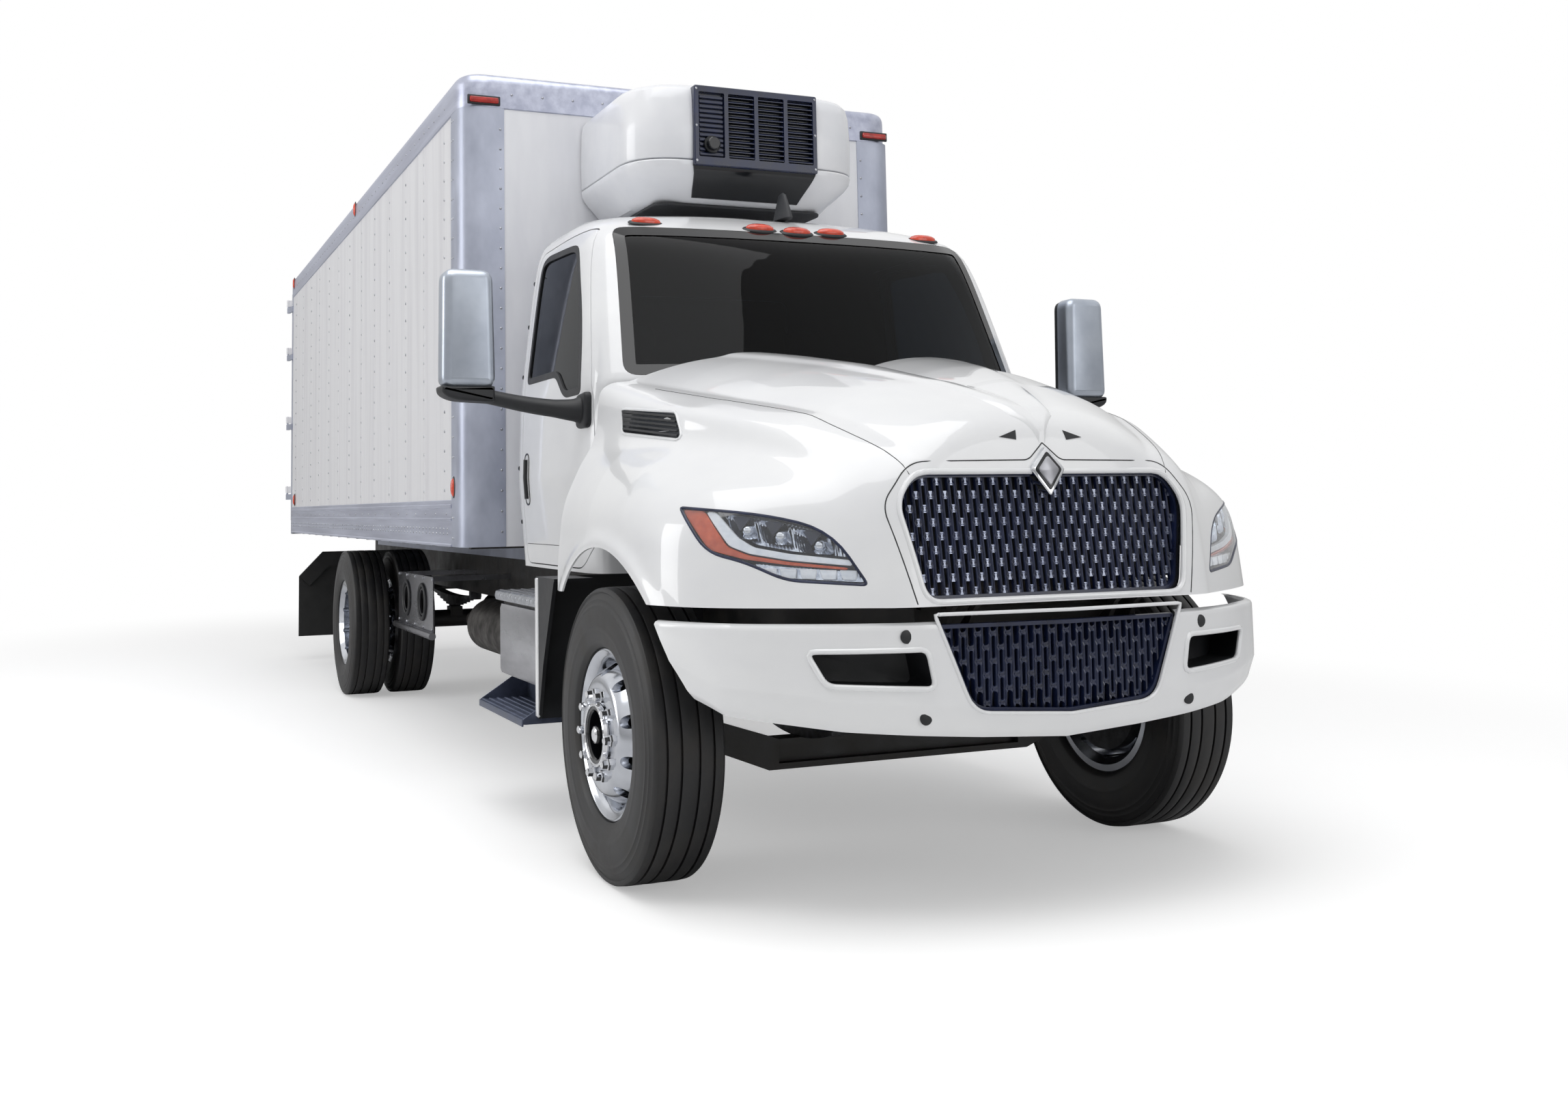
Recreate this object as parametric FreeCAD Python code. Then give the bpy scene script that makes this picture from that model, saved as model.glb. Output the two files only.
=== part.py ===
"""Refrigerated delivery truck: two-axle conventional chassis cab with a forward-tilting hood,
an insulated van body with swing rear doors and a nose-mounted refrigeration unit.

Millimetres. +X points forward, +Y to the driver's left, +Z up. Every x below is measured from the
front axle; the finished pieces are shifted so that the origin lies on the ground at the middle of
the truck's length.
"""
import FreeCAD
import Part
import math
import os

V = FreeCAD.Vector

# ---------------------------------------------------------------- driving dimensions
WHEELBASE = 5780.0
FRONT_TRACK = 2110.0            # between front tyre centres
REAR_TRACK = 1850.0             # between the centres of the twin tyres
TWIN_SPACING = 320.0            # between the two tyres of a twin

TYRE_R = 514.0
FRONT_TYRE_W = 285.0
REAR_TYRE_W = 275.0
RIM_R = 298.0                   # rim flange
RIM_SEAT_R = 284.0
RIM_BARREL_R = 262.0
RIM_W = 222.0
STUD_PCD = 285.75
STUD_COUNT = 10
HAND_HOLE_COUNT = 10

RAIL_TOP_Z = 1000.0
RAIL_H = 260.0
RAIL_FLANGE = 80.0
RAIL_WALL = 9.0
RAIL_OUT_Y = 432.0              # outer face of each frame rail
RAIL_FRONT_X = 880.0

BOX_HALF_W = 1215.0
BOX_FRONT_X = -2000.0
BOX_LENGTH = 6900.0
BOX_BOTTOM_Z = 1127.0
BOX_TOP_Z = 3486.0
BOX_WALL = 75.0
BOX_FRONT_WALL = 100.0
BOX_ROOF = 90.0
BOX_FLOOR_TOP_Z = 1300.0
BOX_FLOOR_T = 60.0
CORNER_R = 150.0                # rounded front corner posts
REAR_FRAME_L = 90.0
REAR_FRAME_POST = 95.0
REAR_SILL_H = 200.0
REAR_HEADER_H = 190.0
REAR_DOOR_T = 75.0
DOOR_SEAL_GAP = 6.0
REAR_DOOR_GAP = 8.0
REAR_HINGE_OFF = 24.0

CAB_FLOOR_Z = 1045.0
CAB_REAR_X = -1760.0
CAB_WALL = 45.0
DOOR_GAP = 10.0
GLASS_T = 6.0
CAB_DOOR_FRONT_X = -600.0
CAB_DOOR_REAR_X = -1640.0
CAB_HINGE_X = -614.0
CAB_HINGE_Y = 1022.0
CAB_HINGE_Z = (1250.0, 1600.0)  # foot of each hinge's lug
CAB_HINGE_PIN_R = 7.0
CAB_HINGE_LUG_H = 22.0
CAB_HINGE_CLEAR = 8.0           # above and below each lug

HOOD_SKIN = 25.0
HOOD_BOTTOM_Z = 992.0
HOOD_REAR_X = -528.0
ARCH_R = 655.0
HOOD_PIVOT_X = 1003.0
HOOD_PIVOT_Z = 1000.0

KINGPIN_Y = 905.0
KINGPIN_R = 22.0
STEER_ARM_X = -230.0            # tie rod behind the front axle
BALL_R = 14.0
PIN_FIT = 0.05                  # running clearance of every pin in its bore
OPEN_JOINT_GAP = 6.0            # slack round the tie rod's free ball joint

# ---------------------------------------------------------------- worked-out places
BOX_REAR_X = BOX_FRONT_X - BOX_LENGTH
REAR_DOOR_FACE_X = BOX_REAR_X - DOOR_SEAL_GAP - REAR_DOOR_T
NOSE_X = 1105.0                 # front of the bumper
DOCK_BUMPER_X = BOX_REAR_X - 130.0
MID_X = (NOSE_X + DOCK_BUMPER_X) / 2
FRONT_Y = FRONT_TRACK / 2
REAR_Y = REAR_TRACK / 2
X_AXIS, Y_AXIS, Z_AXIS = V(1, 0, 0), V(0, 1, 0), V(0, 0, 1)


# ---------------------------------------------------------------- helpers
def block(x0, x1, y0, y1, z0, z1):
    return Part.makeBox(abs(x1 - x0), abs(y1 - y0), abs(z1 - z0),
                        V(min(x0, x1), min(y0, y1), min(z0, z1)))


def rod(r, p, axis, length):
    return Part.makeCylinder(r, length, V(*p), axis)


def joined(shapes):
    whole = shapes[0].multiFuse(shapes[1:]) if len(shapes) > 1 else shapes[0]
    return whole.removeSplitter()


def outline(points):
    """Closed wire of straight runs through the points."""
    pts = [V(*p) for p in points]
    return Part.makePolygon(pts + [pts[0]])


def prism_y(xz, y0, y1):
    """A side-view outline of (x, z) points carried across from y0 to y1."""
    face = Part.Face(outline([(x, y0, z) for x, z in xz]))
    return face.extrude(V(0, y1 - y0, 0))


def prism_x(yz, x0, x1):
    face = Part.Face(outline([(x0, y, z) for y, z in yz]))
    return face.extrude(V(x1 - x0, 0, 0))


def prism_z(xy, z0, z1):
    face = Part.Face(outline([(x, y, z0) for x, y in xy]))
    return face.extrude(V(0, 0, z1 - z0))


def mirrored(shape):
    return shape.mirror(V(0, 0, 0), Y_AXIS)


def turned(profile, y_centre, x_centre, side=1):
    """Solid of revolution about a wheel's axle from (radius, offset outboard) points."""
    pts = [V(x_centre, y_centre + side * o, TYRE_R + r) for r, o in profile]
    face = Part.Face(Part.makePolygon(pts + [pts[0]]))
    return face.revolve(V(x_centre, y_centre, TYRE_R), Y_AXIS, 360)


def rounded(shape, radius, picker):
    edges = [e for e in shape.Edges if picker(e)]
    return shape.makeFillet(radius, edges) if edges else shape


def upright(edge):
    """True for a straight edge that runs up and down."""
    a, b = edge.Vertexes[0].Point, edge.Vertexes[-1].Point
    return abs(a.z - b.z) > 1 and abs(a.x - b.x) < 0.01 and abs(a.y - b.y) < 0.01


def export(name, shape):
    moved = shape.copy()
    moved.translate(V(-MID_X, 0, 0))
    moved.exportStep("parts/%s.step" % name)


# ---------------------------------------------------------------- frame and axles
def frame_rails():
    """Two long channel rails, open towards each other."""
    x0, x1 = RAIL_FRONT_X, BOX_REAR_X + 60
    z0 = RAIL_TOP_Z - RAIL_H
    inner = RAIL_OUT_Y - RAIL_FLANGE
    rail = joined([block(x0, x1, RAIL_OUT_Y - RAIL_WALL, RAIL_OUT_Y, z0, RAIL_TOP_Z),
                   block(x0, x1, inner, RAIL_OUT_Y, RAIL_TOP_Z - RAIL_WALL, RAIL_TOP_Z),
                   block(x0, x1, inner, RAIL_OUT_Y, z0, z0 + RAIL_WALL)])
    return Part.makeCompound([rail, mirrored(rail)])


def crossmembers():
    """Flanged plates between the rails' webs, each with room for the propeller shaft."""
    inner = RAIL_OUT_Y - RAIL_WALL
    z0 = RAIL_TOP_Z - RAIL_H + 40
    tail, nose = shaft_ends()
    tunnel = Part.makeCylinder(95, (nose - tail).Length, tail, nose - tail)
    out = []
    for x in CROSSMEMBER_X:
        plate = joined([block(x - 4, x + 4, -inner, inner, z0, RAIL_TOP_Z - 40),
                        block(x - 40, x + 40, -inner, inner, z0, z0 + 8)])
        out += plate.cut(tunnel).Solids
    return Part.makeCompound(out)


CROSSMEMBER_X = (740.0, -1900.0, -3000.0, -4300.0, -5200.0, -6400.0, -7400.0, -8400.0)

SPRING_Y = 432.0 - 40.0
SPRING_W = 75.0


def leaf_spring(x_mid, half, z_seat, leaves, y_mid, eye_z, hanger_top):
    """A stack of bent leaves from eye to eye, with its two hangers, centred on the axle seat."""
    pieces = []
    t = 12.0
    drop = eye_z - z_seat - (leaves - 1) * t
    for k in range(leaves):
        h = half * (1 - 0.16 * k)
        low = z_seat + (leaves - 1 - k) * t
        mid = V(x_mid, y_mid - SPRING_W / 2, low)
        rise = drop * (h / half) ** 2
        a = V(x_mid - h, y_mid - SPRING_W / 2, low + rise)
        b = V(x_mid + h, y_mid - SPRING_W / 2, low + rise)
        up = V(0, 0, t)
        arc1 = Part.Arc(a, mid, b).toShape()
        arc2 = Part.Arc(b + up, mid + up, a + up).toShape()
        wire = Part.Wire([arc1, Part.LineSegment(b, b + up).toShape(), arc2,
                          Part.LineSegment(a + up, a).toShape()])
        pieces.append(Part.Face(wire).extrude(V(0, SPRING_W, 0)))
    for sx in (-1, 1):
        x = x_mid + sx * half
        top_leaf = z_seat + (leaves - 1) * t + drop
        pieces.append(rod(26, (x, y_mid - SPRING_W / 2, top_leaf + 6), Y_AXIS, SPRING_W))
        pieces.append(block(x - 30, x + 30, y_mid - SPRING_W / 2, y_mid + SPRING_W / 2,
                            top_leaf, hanger_top))
    return joined(pieces)


def front_springs():
    s = leaf_spring(0, 560, FRONT_SEAT_Z, 4, SPRING_Y, 640, RAIL_TOP_Z - RAIL_H)
    return Part.makeCompound([s, mirrored(s)])


def rear_springs():
    s = leaf_spring(-WHEELBASE, 640, REAR_SEAT_Z, 7, SPRING_Y, 700, RAIL_TOP_Z - RAIL_H)
    return Part.makeCompound([s, mirrored(s)])


FRONT_SEAT_Z = 455.0
REAR_SEAT_Z = 600.0
BEAM_W = 90.0


def front_axle():
    """Dropped I-beam with a kingpin boss at each end."""
    low, high = 345.0, FRONT_SEAT_Z
    straight, t = 560.0, 22.0
    pieces = [block(-BEAM_W / 2, BEAM_W / 2, -straight, straight, low, low + t),
              block(-BEAM_W / 2, BEAM_W / 2, -straight, straight, high - t, high),
              block(-10, 10, -straight, straight, low, high)]
    for s in (-1, 1):
        lift = [(s * straight, low), (s * (KINGPIN_Y - 48), TYRE_R - 52), (s * (KINGPIN_Y - 48), TYRE_R + 52),
                (s * 520, high), (s * 520, low)]
        pieces.append(prism_x(lift, -BEAM_W / 2, BEAM_W / 2))
        pieces.append(rod(50, (0, s * KINGPIN_Y, TYRE_R - 52), Z_AXIS, 104))
    axle = joined(pieces)
    for s in (-1, 1):
        axle = axle.cut(rod(KINGPIN_R + PIN_FIT, (0, s * KINGPIN_Y, TYRE_R - 200), Z_AXIS, 400))
    return axle


def knuckle(s):
    """Steering knuckle: yoke round the beam's boss, kingpin, stub axle, brake drum plate and arm."""
    y = s * KINGPIN_Y
    pieces = [rod(KINGPIN_R, (0, y, TYRE_R - 100), Z_AXIS, 200)]
    for z in (TYRE_R - 100, TYRE_R + 60):
        pieces.append(rod(46, (0, y, z), Z_AXIS, 40))
    flange_y = KINGPIN_Y + 55
    pieces.append(block(-42, 42, s * flange_y, s * (flange_y + 20), TYRE_R - 100, TYRE_R + 100))
    for z in (TYRE_R - 100, TYRE_R + 60):
        pieces.append(block(-36, 36, y, s * (flange_y + 6), z, z + 40))
    pieces.append(rod(STUB_R, (0, y + s * 70, TYRE_R), V(0, s, 0), STUB_END_Y - KINGPIN_Y - 70))
    x_end = STEER_ARM_X - 26
    arm = [(-30, y + s * 40), (x_end, y - s * 26), (x_end, y + s * 26), (-36, y + s * 72),
           (36, y + s * 72), (36, y + s * 40)]
    z_arm = TYRE_R - 100
    pieces.append(prism_z(arm, z_arm, z_arm + 26))
    pieces.append(rod(BALL_R, (STEER_ARM_X, y, z_arm - 44), Z_AXIS, 60))
    return joined(pieces)


STUB_R = 30.0
STUB_END_Y = 1190.0
HUB_BORE_R = STUB_R + PIN_FIT


def tie_rod():
    """Cross tube that links the two steering arms, with a ball-joint eye at each end."""
    z = TYRE_R - 100 - 24
    pieces = [rod(18, (STEER_ARM_X, -KINGPIN_Y + 24, z), Y_AXIS, 2 * KINGPIN_Y - 48)]
    for s in (-1, 1):
        pieces.append(rod(26, (STEER_ARM_X, s * KINGPIN_Y, z - 19), Z_AXIS, 38))
    bar = joined(pieces)
    for s in (-1, 1):
        clearance = PIN_FIT if s > 0 else OPEN_JOINT_GAP
        bar = bar.cut(rod(BALL_R + clearance, (STEER_ARM_X, s * KINGPIN_Y, z - 40), Z_AXIS, 80))
    return bar


AXLE_TUBE_R = 62.0
AXLE_END_Y = 985.0


def rear_axle():
    """Drive axle: a tube with the differential housing, its pinion nose and stub ends."""
    x = -WHEELBASE
    tube = rod(AXLE_TUBE_R, (x, -REAR_Y + 260, TYRE_R), Y_AXIS, 2 * (REAR_Y - 260))
    stubs = rod(STUB_R, (x, -AXLE_END_Y, TYRE_R), Y_AXIS, 2 * AXLE_END_Y)
    bowl = Part.makeSphere(205, V(x, 0, TYRE_R))
    bowl = bowl.common(block(x - 150, x + 205, -190, 190, TYRE_R - 205, TYRE_R + 205))
    nose = Part.makeCone(120, 60, 330, V(x + 60, 0, TYRE_R + 20), X_AXIS)
    pads = [block(x - 60, x + 60, s * (SPRING_Y - 45), s * (SPRING_Y + 45), TYRE_R, REAR_SEAT_Z)
            for s in (-1, 1)]
    return joined([tube, stubs, bowl, nose] + pads)


def shaft_ends():
    return V(GEARBOX_REAR_X, 0, 800), V(-WHEELBASE + 390, 0, TYRE_R + 20)


def driveshaft():
    """Propeller shaft from the gearbox's tail to the axle's pinion nose."""
    tail, nose = shaft_ends()
    run = nose - tail
    step = run * (10 / run.Length)
    shaft = joined([Part.makeCylinder(48, run.Length + 20, tail - step, run),
                    Part.makeCylinder(70, 70, tail - step, run),
                    Part.makeCylinder(66, 70, nose - step * 6, run)])
    return shaft.common(block(tail.x, nose.x, -200, 200, 300, 1000))


GEARBOX_REAR_X = -1830.0


def engine_block():
    """Engine and gearbox as one plain mass between the rails."""
    engine = block(600, -490, -300, 300, 700, 1420)
    gearbox = block(-500, GEARBOX_REAR_X, -220, 220, 640, 985)
    bell = block(-460, -530, -260, 260, 640, 985)
    mounts = [block(x - 60, x + 60, -RAIL_OUT_Y + RAIL_WALL, RAIL_OUT_Y - RAIL_WALL, 780, 840)
              for x in (300, -1200)]
    return joined([engine, gearbox, bell] + mounts)


def radiator():
    """Radiator and cooler pack on the first crossmember, ahead of the engine."""
    half = RAIL_OUT_Y - RAIL_FLANGE - 5
    core = block(690, 780, -half, half, RAIL_TOP_Z - 40, 1380)
    tank = block(680, 790, -half, half, 1380, 1420)
    return joined([core, tank])


# ---------------------------------------------------------------- wheels
def tyre_profile(width):
    """(radius, offset) points round a tyre's section, from bead to tread and back."""
    w = width / 2
    tread = w - 26
    bead = RIM_W / 2
    half = [(TYRE_R - 2, tread - 14), (TYRE_R - 16, tread + 6), (TYRE_R - 60, w - 8), (RIM_R + 105, w),
            (RIM_R + 60, w - 8), (RIM_R + 2, bead + 6), (RIM_R + 1, bead - 9), (RIM_SEAT_R, bead - 15)]
    return [(r, -o) for r, o in reversed(half)] + [(TYRE_R, 0)] + half


def rim_profile(face):
    """(radius, offset) points of a disc wheel whose mounting face lies at offset face."""
    w = RIM_W / 2
    t = 14.0
    seat, barrel = RIM_SEAT_R - 0.3, RIM_BARREL_R
    side = 1 if face > 0 else -1
    return [(110, face), (175, face), (205, face - side * 8), (barrel - t, face - side * 92),
            (barrel - t, -side * (w - 30)), (seat - t, -side * w), (RIM_R, -side * w),
            (RIM_R, -side * (w - 8)), (seat, -side * (w - 14)), (seat, -side * (w - 40)),
            (barrel, -side * (w - 64)), (barrel, side * (w - 64)), (seat, side * (w - 40)),
            (seat, side * (w - 14)), (RIM_R, side * (w - 8)), (RIM_R, side * w),
            (seat - t, side * w), (barrel - t, side * (w - 30)), (barrel - t, face - side * 66),
            (210, face + side * 14), (180, face + side * 22), (110, face + side * 22)]


def with_hand_holes(wheel, x, y):
    """Cuts the ring of round hand holes through a wheel's dish."""
    for k in range(HAND_HOLE_COUNT):
        a = 2 * math.pi * (k + 0.5) / HAND_HOLE_COUNT
        p = (x + 228 * math.cos(a), y - 300, TYRE_R + 228 * math.sin(a))
        wheel = wheel.cut(rod(24, p, Y_AXIS, 600))
    return wheel


def wheel_nuts(x, y_face, s, length):
    nuts = []
    for k in range(STUD_COUNT):
        a = 2 * math.pi * k / STUD_COUNT
        r = STUD_PCD / 2
        nuts.append(rod(16, (x + r * math.cos(a), y_face, TYRE_R + r * math.sin(a)), V(0, s, 0), length))
    return nuts


FRONT_FACE = 118.0              # mounting face outboard of the tyre's centre
REAR_DISH = 150.0               # mounting face from each rear tyre's centre, towards its twin


def front_tyre(s):
    return turned(tyre_profile(FRONT_TYRE_W), s * FRONT_Y, 0, s)


def front_wheel(s):
    """Disc wheel with its hub, cap, nuts and brake drum."""
    y = s * FRONT_Y
    wheel = with_hand_holes(turned(rim_profile(FRONT_FACE), y, 0, s), 0, y)
    hub_out = FRONT_FACE + 60
    hub = turned([(0, hub_out), (62, hub_out), (70, hub_out - 10), (70, FRONT_FACE + 22),
                  (112, FRONT_FACE + 22), (112, FRONT_FACE - 20), (84, FRONT_FACE - 20),
                  (84, -40), (205, -46), (205, -58), (60, -58), (60, -40),
                  (HUB_BORE_R, -40), (HUB_BORE_R, STUB_END_Y - FRONT_Y + 2), (0, STUB_END_Y - FRONT_Y + 2)],
                 y, 0, s)
    nuts = wheel_nuts(0, y + s * (FRONT_FACE + 15), s, 42)
    return joined([wheel, hub] + nuts)


def rear_tyres(s):
    x = -WHEELBASE
    return Part.makeCompound([turned(tyre_profile(REAR_TYRE_W), s * (REAR_Y + k * TWIN_SPACING / 2), x, s)
                              for k in (-1, 1)])


def rear_wheels(s):
    """Twin disc wheels back to back on one hub, with brake drum, nuts and axle-shaft cap."""
    x = -WHEELBASE
    y_in, y_out = s * (REAR_Y - TWIN_SPACING / 2), s * (REAR_Y + TWIN_SPACING / 2)
    inner = with_hand_holes(turned(rim_profile(TWIN_SPACING / 2 - 22), y_in, x, s), x, y_in)
    outer = with_hand_holes(turned(rim_profile(-(TWIN_SPACING / 2 - 22)), y_out, x, s), x, y_out)
    cap = 105.0
    hub = turned([(0, cap), (78, cap), (90, cap - 10), (90, 24), (112, 24), (112, -24), (92, -24),
                  (92, -140), (205, -160), (205, -290), (190, -290), (190, -170), (80, -150),
                  (HUB_BORE_R, -150), (HUB_BORE_R, AXLE_END_Y - REAR_Y + 2), (0, AXLE_END_Y - REAR_Y + 2)],
                 s * REAR_Y, x, s)
    nuts = wheel_nuts(x, s * (REAR_Y + 15), s, 48)
    return joined([inner, outer, hub] + nuts)


# ---------------------------------------------------------------- cab
# Plan sections of the cab, bottom to top. Columns: height z, front x on the centre line,
# front x at the corner, half width at the corner, rear x, half width at the rear.
CAB_SECTIONS = (
    (1045.0, -600.0, -600.0, 1000.0, CAB_REAR_X, 985.0),
    (1450.0, -520.0, -560.0, 1030.0, CAB_REAR_X, 1015.0),
    (1815.0, -285.0, -520.0, 1022.0, CAB_REAR_X, 1005.0),
    (2510.0, -650.0, -775.0, 945.0, CAB_REAR_X + 10, 930.0),
    (2610.0, -790.0, -910.0, 850.0, CAB_REAR_X + 45, 845.0),
    (2655.0, -1080.0, -1150.0, 600.0, CAB_REAR_X + 150, 600.0),
)


def cab_loft(inset, floor=True):
    """The cab's closed outer form, or the same form drawn in by inset, with or without its floor."""
    wires = []
    last = len(CAB_SECTIONS) - 1
    for k, (z, xc, xe, hw, xr, hr) in enumerate(CAB_SECTIONS):
        z += inset if floor and k == 0 else 0
        z -= inset * (k / last) ** 2
        a, b = V(xr + inset, -hr + inset, z), V(xe - inset, -hw + inset, z)
        c, d = V(xe - inset, hw - inset, z), V(xr + inset, hr - inset, z)
        m = V(xc - inset, 0, z)
        front = (Part.Arc(b, m, c).toShape() if abs(xc - xe) > 1
                 else Part.LineSegment(b, c).toShape())
        wires.append(Part.Wire([Part.LineSegment(a, b).toShape(), front,
                                Part.LineSegment(c, d).toShape(), Part.LineSegment(d, a).toShape()]))
    return Part.makeLoft(wires, True, True)


CAB_DOOR_TOP_Z = 2506.0
# (x, z) outline of the cab door and of its window.
DOOR_OUTLINE = ((CAB_DOOR_REAR_X, 1062.0), (-760.0, 1062.0), (CAB_DOOR_FRONT_X, 1200.0),
                (CAB_DOOR_FRONT_X, 1790.0), (-870.0, CAB_DOOR_TOP_Z - 10), (-930.0, CAB_DOOR_TOP_Z),
                (CAB_DOOR_REAR_X, CAB_DOOR_TOP_Z))
WINDOW_OUTLINE = ((-1612.0, 1884.0), (-1110.0, 1878.0), (-960.0, 1775.0), (-722.0, 1775.0), (-796.0, 2103.0),
                  (-980.0, 2425.0), (-1050.0, 2458.0), (-1500.0, 2480.0), (-1582.0, 2455.0))
WINDSHIELD_OUTLINE = ((-905.0, 1840.0), (905.0, 1840.0), (845.0, 2480.0), (-845.0, 2480.0))
REAR_WINDOW_OUTLINE = ((-420.0, 1900.0), (420.0, 1900.0), (420.0, 2350.0), (-420.0, 2350.0))


def grown(points, by):
    """The outline with each point moved out from the outline's middle box by a fixed amount."""
    xs, zs = [p[0] for p in points], [p[1] for p in points]
    mx, mz = (min(xs) + max(xs)) / 2, (min(zs) + max(zs)) / 2
    return [(x + math.copysign(by, x - mx), z + math.copysign(by, z - mz)) for x, z in points]


def cab_layer(a, b):
    """The cab's upright skin between insets a and b, open underneath."""
    return cab_loft(a, False).cut(cab_loft(b, False))


def side_layer(a, b):
    """The same skin along the cab's two sides only, without its front wall."""
    ahead = cab_loft(b, False)
    ahead.translate(V(120, 0, 0))
    return cab_layer(a, b).cut(ahead)


def cab_shell():
    """Hollow cab with its floor, door and window openings, on four mounts."""
    shell = cab_loft(0).cut(cab_loft(CAB_WALL))
    doorway = side_layer(-5, CAB_WALL + 12)
    for s in (-1, 1):
        shell = shell.cut(doorway.common(prism_y(grown(DOOR_OUTLINE, DOOR_GAP), s * 800, s * 1200)))
    shell = shell.cut(prism_x(WINDSHIELD_OUTLINE, -1000, 0))
    shell = shell.cut(prism_x(REAR_WINDOW_OUTLINE, CAB_REAR_X - 50, CAB_REAR_X + 150))
    legs = [block(x - 60, x + 60, s * 340, s * 430, RAIL_TOP_Z, CAB_FLOOR_Z + 20)
            for s in (-1, 1) for x in (CAB_REAR_X + 130, -700)]
    hinges = []
    for s in (-1, 1):
        for z in CAB_HINGE_Z:
            hinges.append(rod(CAB_HINGE_PIN_R, (CAB_HINGE_X, s * CAB_HINGE_Y, z), Z_AXIS, 78))
            hinges.append(block(CAB_HINGE_X - 9, CAB_HINGE_X + 36, s * (CAB_HINGE_Y - 18),
                                s * (CAB_HINGE_Y + 9), z, z + CAB_HINGE_LUG_H))
    return joined([shell] + legs + hinges)


def cab_door(s):
    """Hollow-fronted door leaf with a pocket round each hinge lug and an eye above it."""
    door = side_layer(0, CAB_WALL).common(prism_y(DOOR_OUTLINE, s * 800, s * 1200))
    door = door.cut(prism_y(WINDOW_OUTLINE, s * 800, s * 1200))
    x, y = CAB_HINGE_X, s * CAB_HINGE_Y
    eyes = []
    for z in CAB_HINGE_Z:
        pocket_h = CAB_HINGE_LUG_H + 2 * CAB_HINGE_CLEAR
        door = door.cut(rod(28, (x, y, z - CAB_HINGE_CLEAR), Z_AXIS, pocket_h))
        eyes.append(rod(13, (x, y, z - CAB_HINGE_CLEAR + pocket_h), Z_AXIS, 60))
    door = joined([door] + eyes)
    for z in CAB_HINGE_Z:
        door = door.cut(rod(CAB_HINGE_PIN_R + PIN_FIT, (x, y, z), Z_AXIS, 86))
    return door


def door_glass(s):
    mid = CAB_WALL / 2
    return side_layer(mid, mid + GLASS_T).common(prism_y(WINDOW_OUTLINE, s * 800, s * 1200))


def cab_glass():
    front = cab_layer(4, 4 + GLASS_T).common(prism_x(WINDSHIELD_OUTLINE, -1000, 0))
    rear = block(CAB_REAR_X + 20, CAB_REAR_X + 20 + GLASS_T, -420, 420, 1900, 2350)
    return Part.makeCompound([front, rear])


WHEEL_CENTRE = V(-1112, 480, 1702)
COLUMN_AXIS = V(-0.872, 0, 0.49)
STEERING_HUB_T = 34.0


def dashboard():
    """Instrument panel across the cab on its bulkhead leg, with the steering column."""
    body = prism_y(((-700, 1300), (-1010, 1480), (-1040, 1640), (-960, 1740), (-640, 1770)), -890, 890)
    length = 190
    foot = WHEEL_CENTRE - COLUMN_AXIS * (length + STEERING_HUB_T / 2)
    column = Part.makeCylinder(34, length, foot, COLUMN_AXIS)
    leg = block(-740, -660, -860, 860, CAB_FLOOR_Z + CAB_WALL, 1420)
    return joined([body, column, leg])


def steering_wheel():
    """Rim, hub and three spokes at the column's upper end."""
    ring = Part.makeTorus(215, 17, WHEEL_CENTRE, COLUMN_AXIS)
    hub_foot = WHEEL_CENTRE - COLUMN_AXIS * (STEERING_HUB_T / 2)
    hub = Part.makeCylinder(60, STEERING_HUB_T, hub_foot, COLUMN_AXIS)
    up = COLUMN_AXIS.cross(Y_AXIS)
    spokes = []
    for a in (-20, 200, 90):
        d = Y_AXIS * math.cos(math.radians(a)) + up * math.sin(math.radians(a))
        spokes.append(Part.makeCylinder(13, 205, WHEEL_CENTRE, d))
    return joined([ring, hub] + spokes)


SEAT_Y = 480.0


def seats():
    """Two bucket seats on pedestals."""
    out = []
    for s in (-1, 1):
        y = s * SEAT_Y
        base = block(-1500, -1200, y - 170, y + 170, CAB_FLOOR_Z + CAB_WALL, 1340)
        cushion = block(-1560, -1130, y - 250, y + 250, 1340, 1455)
        back = prism_y(((-1500, 1455), (-1560, 1440), (-1690, 2020), (-1600, 2020)), y - 240, y + 240)
        head = block(-1672, -1592, y - 130, y + 130, 2020, 2200)
        out.append(joined([base, cushion, back, head]))
    return Part.makeCompound(out)


# ---------------------------------------------------------------- hood
# Cross sections of the hood and its fenders, rear to front. Columns: x and centre-line z; then y and
# z of the shoulder, the side's top, the valley, the fender's crown and its side; last the bottom y.
HOOD_SECTIONS = (
    (HOOD_REAR_X, 1838, 960, 1808, 1005, 1770, 1015, 1575, 1080, 1455, 1150, 1300, 1165),
    (-150.0, 1805, 880, 1742, 965, 1690, 975, 1558, 1100, 1450, 1175, 1290, 1178),
    (200.0, 1765, 785, 1680, 915, 1640, 935, 1527, 1098, 1435, 1178, 1285, 1180),
    (600.0, 1690, 645, 1605, 730, 1560, 795, 1455, 1020, 1375, 1165, 1250, 1178),
    (900.0, 1600, 540, 1490, 615, 1450, 735, 1372, 900, 1315, 1105, 1215, 1140),
    (1090.0, 1470, 460, 1385, 550, 1350, 690, 1300, 870, 1245, 1060, 1170, 1100),
)


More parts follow.
